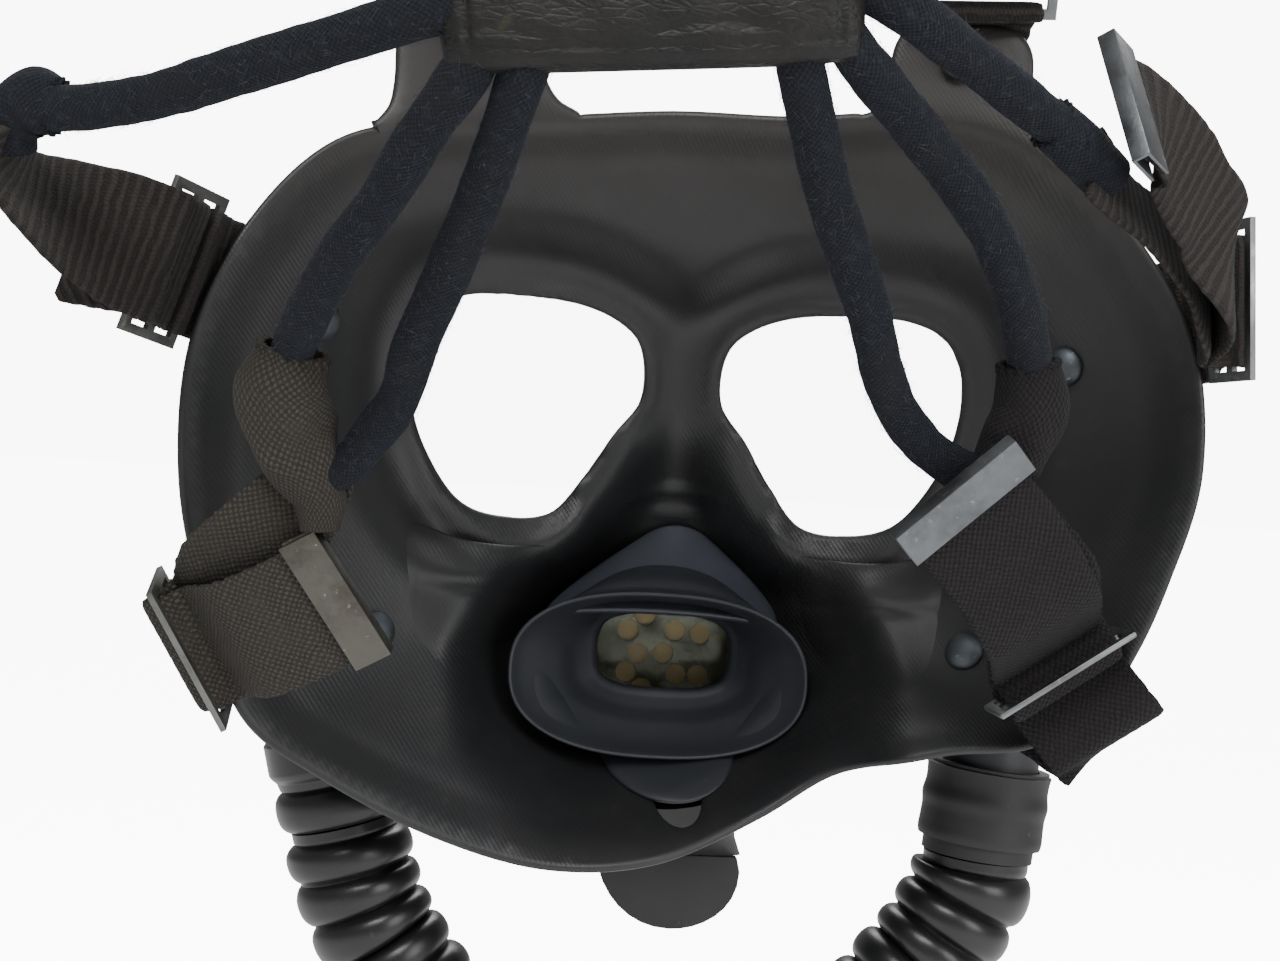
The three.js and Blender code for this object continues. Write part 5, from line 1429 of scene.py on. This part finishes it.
for n, (name, leg) in enumerate(LEGS.items()):
    material = WEB_LOOKS.get(name, WEB_BROWN)
    slot = "webbing_dark" if name == "cheek_right" else "webbing"
    centre, way, lift, width = strap_rows(leg)
    obj = web_solid(f"strap_{name}_web", centre, way, lift, width, WEB_THICK, material, 200 + 30 * n)
    stand(obj, "root", slot, f"strap_{name}")
    centre, way, lift = tab_rows(name, leg)
    obj = web_solid(f"tab_{name}_web", centre, way, lift, WEB_WIDTH, TAB_THICK, material, 215 + 30 * n)
    stand(obj, "root", slot, f"tab_{name}")
    buckle_look, tip_look = (BRIGHT, TIP_RIGHT) if "right" in name else (STEEL, TIP_LEFT)
    bevelled(f"buckle_{name}", f"buckle_{name}", "steel", buckle_look, 0.4)
    if leg["tip"]:
        bevelled(f"strap_tip_{name}", "root", "steel", tip_look, 0.25)

# ------------------------------------------------------------------ sewn sleeves over the cord ends
SLEEVES = {
    "cheek_left": {"line": [(-90.7, -48, 23), (-92.6, -45, 14), (-91, -42, 5), (-87.5, -40, -2),
                            (-84.5, -38.5, -9), (-84, -38, -16)],
                   "size": (8.4, 11.2, 10.6, 9.4, 7.4, 5.0), "flat": 0.82, "crumple": 1.1, "look": WEB_OLIVE},
    "cheek_right": {"line": [(67.3, -48, 30), (69, -45.5, 21), (67.5, -42.5, 13), (65.5, -40.5, 6),
                             (66, -38.5, 0)],
                    "size": (7.6, 8.8, 9.2, 8.8, 6.8), "flat": 0.86, "crumple": 0.6, "look": WEB_DARK},
    "temple_left": {"line": [(-139, -66, 68), (-145.5, -63, 69), (-149.8, -60, 65), (-149.5, -57.5, 60)],
                    "size": (6.6, 7.6, 7.6, 6.4), "flat": 0.8, "crumple": 0.8, "look": CORD},
    "temple_right": {"line": [(62, -78, 76.5), (70, -72, 72.5), (78, -65, 68)],
                     "size": (6.2, 6.8, 6.4), "flat": 0.85, "crumple": 0.4, "look": CORD},
    "forehead_left": {"line": [(-56, -74, 148), (-57, -67, 149.4), (-58.2, -58, 151), (-59, -50, 151.8)],
                      "size": (6.2, 7.0, 8.2, 9.0), "flat": 0.62, "crumple": 0.5, "look": WEB_BROWN},
    "forehead_right": {"line": [(33, -75, 149.6), (38, -69, 150.2), (44, -61, 151.2), (47.5, -54, 151.8)],
                       "size": (6.2, 7.0, 8.2, 9.0), "flat": 0.62, "crumple": 0.5, "look": WEB_BROWN},
}


SLEEVE_SIDES = 72


def sleeve(name, sleeve_, seed):
    """A crumpled cloth sleeve with a fringed mouth round the end of a cord."""
    line, at = even(catmull(sleeve_["line"], 240), step=0.55)
    u, v = frames_along(line)[1:]
    angle = full_circle(SLEEVE_SIDES)
    share = at / at[-1]
    size = np.interp(share, np.linspace(0, 1, len(sleeve_["size"])), sleeve_["size"])
    fold = sleeve_["crumple"] * (
        0.55 * np.sin(angle[None] * 2 + at[:, None] / 5.2 + seed)
        + 0.4 * np.sin(angle[None] * 3 - at[:, None] / 3.4 + 2 * seed)
        + 0.3 * np.sin(angle[None] * 5 + at[:, None] / 2.6))
    radius = size[:, None] - 0.8 + fold * np.sin(np.pi * np.clip(share * 1.05, 0, 1))[:, None]
    fringe = 0.5 * np.sin(angle[None] * 17 + seed) * (share[:, None] < 0.04)
    radius = radius + fringe
    flat = sleeve_["flat"]
    place = lambda r: (line[:, None] + u[:, None] * (r * np.cos(angle) * flat)[..., None]
                       + v[:, None] * (r * np.sin(angle))[..., None])
    outer, inner = place(radius), place(radius - 1.1)
    ring = np.concatenate([outer, inner[::-1]])
    lay = np.zeros(ring.shape)
    lay[..., 0] = (angle * 9)[None]
    lay[..., 1] = np.concatenate([at, at[::-1]])[:, None]
    if sleeve_["look"] is CORD:
        lay[..., 0] = (angle / (2 * math.pi))[None]
    faces = grid_faces(len(ring), SLEEVE_SIDES, wrap_rows=True)
    obj = facing_out(laid_piece(f"sleeve_{name}", ring, faces, sleeve_["look"], lay))
    slot = "cord_knit" if sleeve_["look"] is CORD else "webbing_dark" if name == "cheek_right" else "webbing"
    return stand(obj, "root", slot)


for n, (name, sleeve_) in enumerate(SLEEVES.items()):
    sleeve(name, sleeve_, 1.7 + n)

# ------------------------------------------------------------------ rivets
DOME = [(-3.4, 0), (-3.36, 1.2), (-3.1, 2.4), (-2.6, 3.4), (-1.9, 4.3), (-1.2, 4.85), (-0.55, 5.0),
        (-0.2, 4.8), (-0.2, 1.6)]


def rivet_rows(stack):
    """The section of a rivet through a stack of a given thickness."""
    return [*DOME, (stack, 1.6), (stack, 3.7), (stack + 0.5, 3.9), (stack + 1.0, 3.4), (stack + 1.35, 1.8),
            (stack + 1.4, 0)]


for name, (x, z) in RIVETS.items():
    spot, normal = on_face(np.array([x]), np.array([z]), 0)
    stack = WALL + TAB_GAP + TAB_THICK + 0.5
    obj = lathe(f"rivet_{name}_dome", spot[0], normal[0], rivet_rows(stack), 40, RIVET)
    stand(obj, "root", "rivet_metal", f"rivet_{name}")
for side, sign in (("left", -1), ("right", 1)):
    obj = lathe(f"rivet_forehead_{side}_dome", (sign * 59, 6.5, 106), (0, 1, 0), rivet_rows(7.5), 40, RIVET)
    stand(obj, "root", "rivet_metal", f"rivet_forehead_{side}")

# ------------------------------------------------------------------ head pad
PAD = {"centre": (-23, -108, 104), "wide": 80, "deep": 12, "high": 57, "tilt": -5.5}


def head_pad(columns=110, rows=84):
    """A flat leather cushion with a sewn border, dents and a crease along its lower edge."""
    u, v = np.meshgrid(np.linspace(-1, 1, columns), np.linspace(-1, 1, rows), indexing="ij")
    soft = (1 - np.abs(u) ** 8) ** 0.42 * (1 - np.abs(v) ** 8) ** 0.42
    x = u * PAD["wide"] / 2 * (1 - 0.035 * np.abs(v) ** 6)
    z = v * PAD["high"] / 2 * (1 - 0.045 * np.abs(u) ** 6)
    seam = np.exp(-(((1 - np.maximum(np.abs(u), np.abs(v))) - 0.13) / 0.02) ** 2)
    sheets = []
    for sign in (-1, 1):
        dents = 0.8 * np.sin(x * 0.21 + sign) * np.sin(z * 0.17 + 1.3)
        dents = dents + 0.5 * np.sin(x * 0.43 + z * 0.31 + 2.0 * sign)
        depth = PAD["deep"] / 2 * soft * (1 + 0.06 * dents) - 0.7 * seam * (soft > 0.2)
        crease = 0.5 * np.exp(-(((z + PAD["high"] / 2 - 6 - 1.5 * np.sin(x / 7)) / 1.1) ** 2))
        depth = depth - crease * soft
        sheets.append(np.stack([x, sign * depth, z], -1).reshape(-1, 3))
    faces = grid_faces(columns, rows, wrap_columns=False)
    back_faces = faces[:, ::-1] + columns * rows
    verts = np.vstack(sheets)
    a = math.radians(PAD["tilt"])
    turn = np.array([[math.cos(a), 0, math.sin(a)], [0, 1, 0], [-math.sin(a), 0, math.cos(a)]])
    verts = verts @ turn.T + np.array(PAD["centre"])
    obj = piece("head_pad_leather", P(verts), np.vstack([faces, back_faces]), LEATHER)
    with edited(obj.data) as bm:
        bmesh.ops.remove_doubles(bm, verts=bm.verts, dist=2e-5)
        bmesh.ops.recalc_face_normals(bm, faces=bm.faces)
    return facing_out(obj)


pad = head_pad()
stand(pad, "root", "pad_leather", "head_pad")

# ------------------------------------------------------------------ floor and light
FLOOR_Z = CAD_BOX[0][2] - 0.004
FLOOR_HALF = 60


def floor_look():
    look = Look("floor", (0.90, 0.90, 0.90), 0.9, Emission_Color=(1, 1, 1, 1))
    look.patch((3, 3), 0.4, 0.7, (0.86, 0.86, 0.87), 0.5)
    camera_ray = look.node("LightPath").outputs["Is Camera Ray"]
    look.link(look.between(camera_ray, 0, 1, (0.35, 9.4)), look.shader.inputs["Emission Strength"])
    return look.material


corners = [(x * FLOOR_HALF, y * FLOOR_HALF, FLOOR_Z) for x, y in ((-1, -1), (1, -1), (1, 1), (-1, 1))]
floor = piece("floor", corners, [[0, 1, 2, 3]], floor_look(), smooth=False)

world = bpy.data.worlds.new("studio")
world.use_nodes = True
backdrop = world.node_tree.nodes["Background"]
backdrop.inputs["Color"].default_value = (1, 1, 1, 1)
seen = world.node_tree.nodes.new("ShaderNodeLightPath")
strength = world.node_tree.nodes.new("ShaderNodeMapRange")
strength.inputs["To Min"].default_value = 0.38
strength.inputs["To Max"].default_value = 9.0
world.node_tree.links.new(seen.outputs["Is Camera Ray"], strength.inputs["Value"])
world.node_tree.links.new(strength.outputs["Result"], backdrop.inputs["Strength"])
bpy.context.scene.world = world


def softbox(name, place, aim, size, power):
    data = bpy.data.lights.new(name, "AREA")
    data.shape = "RECTANGLE"
    data.size, data.size_y = size
    data.energy = power
    light = bpy.data.objects.new(name, data)
    light.location = place
    light.rotation_euler = (Vector(aim) - Vector(place)).to_track_quat("-Z", "Y").to_euler()
    bpy.context.scene.collection.objects.link(light)


softbox("key", (-0.15, -0.75, 0.75), (0.02, 0.1, -0.12), (0.7, 0.5), 15)
softbox("fill", (0.85, -0.75, 0.15), (0.02, 0.1, -0.12), (0.6, 0.6), 7)
softbox("behind", (0.3, 1.3, 1.1), (0.02, 0.4, -0.3), (1.6, 1.0), 30)
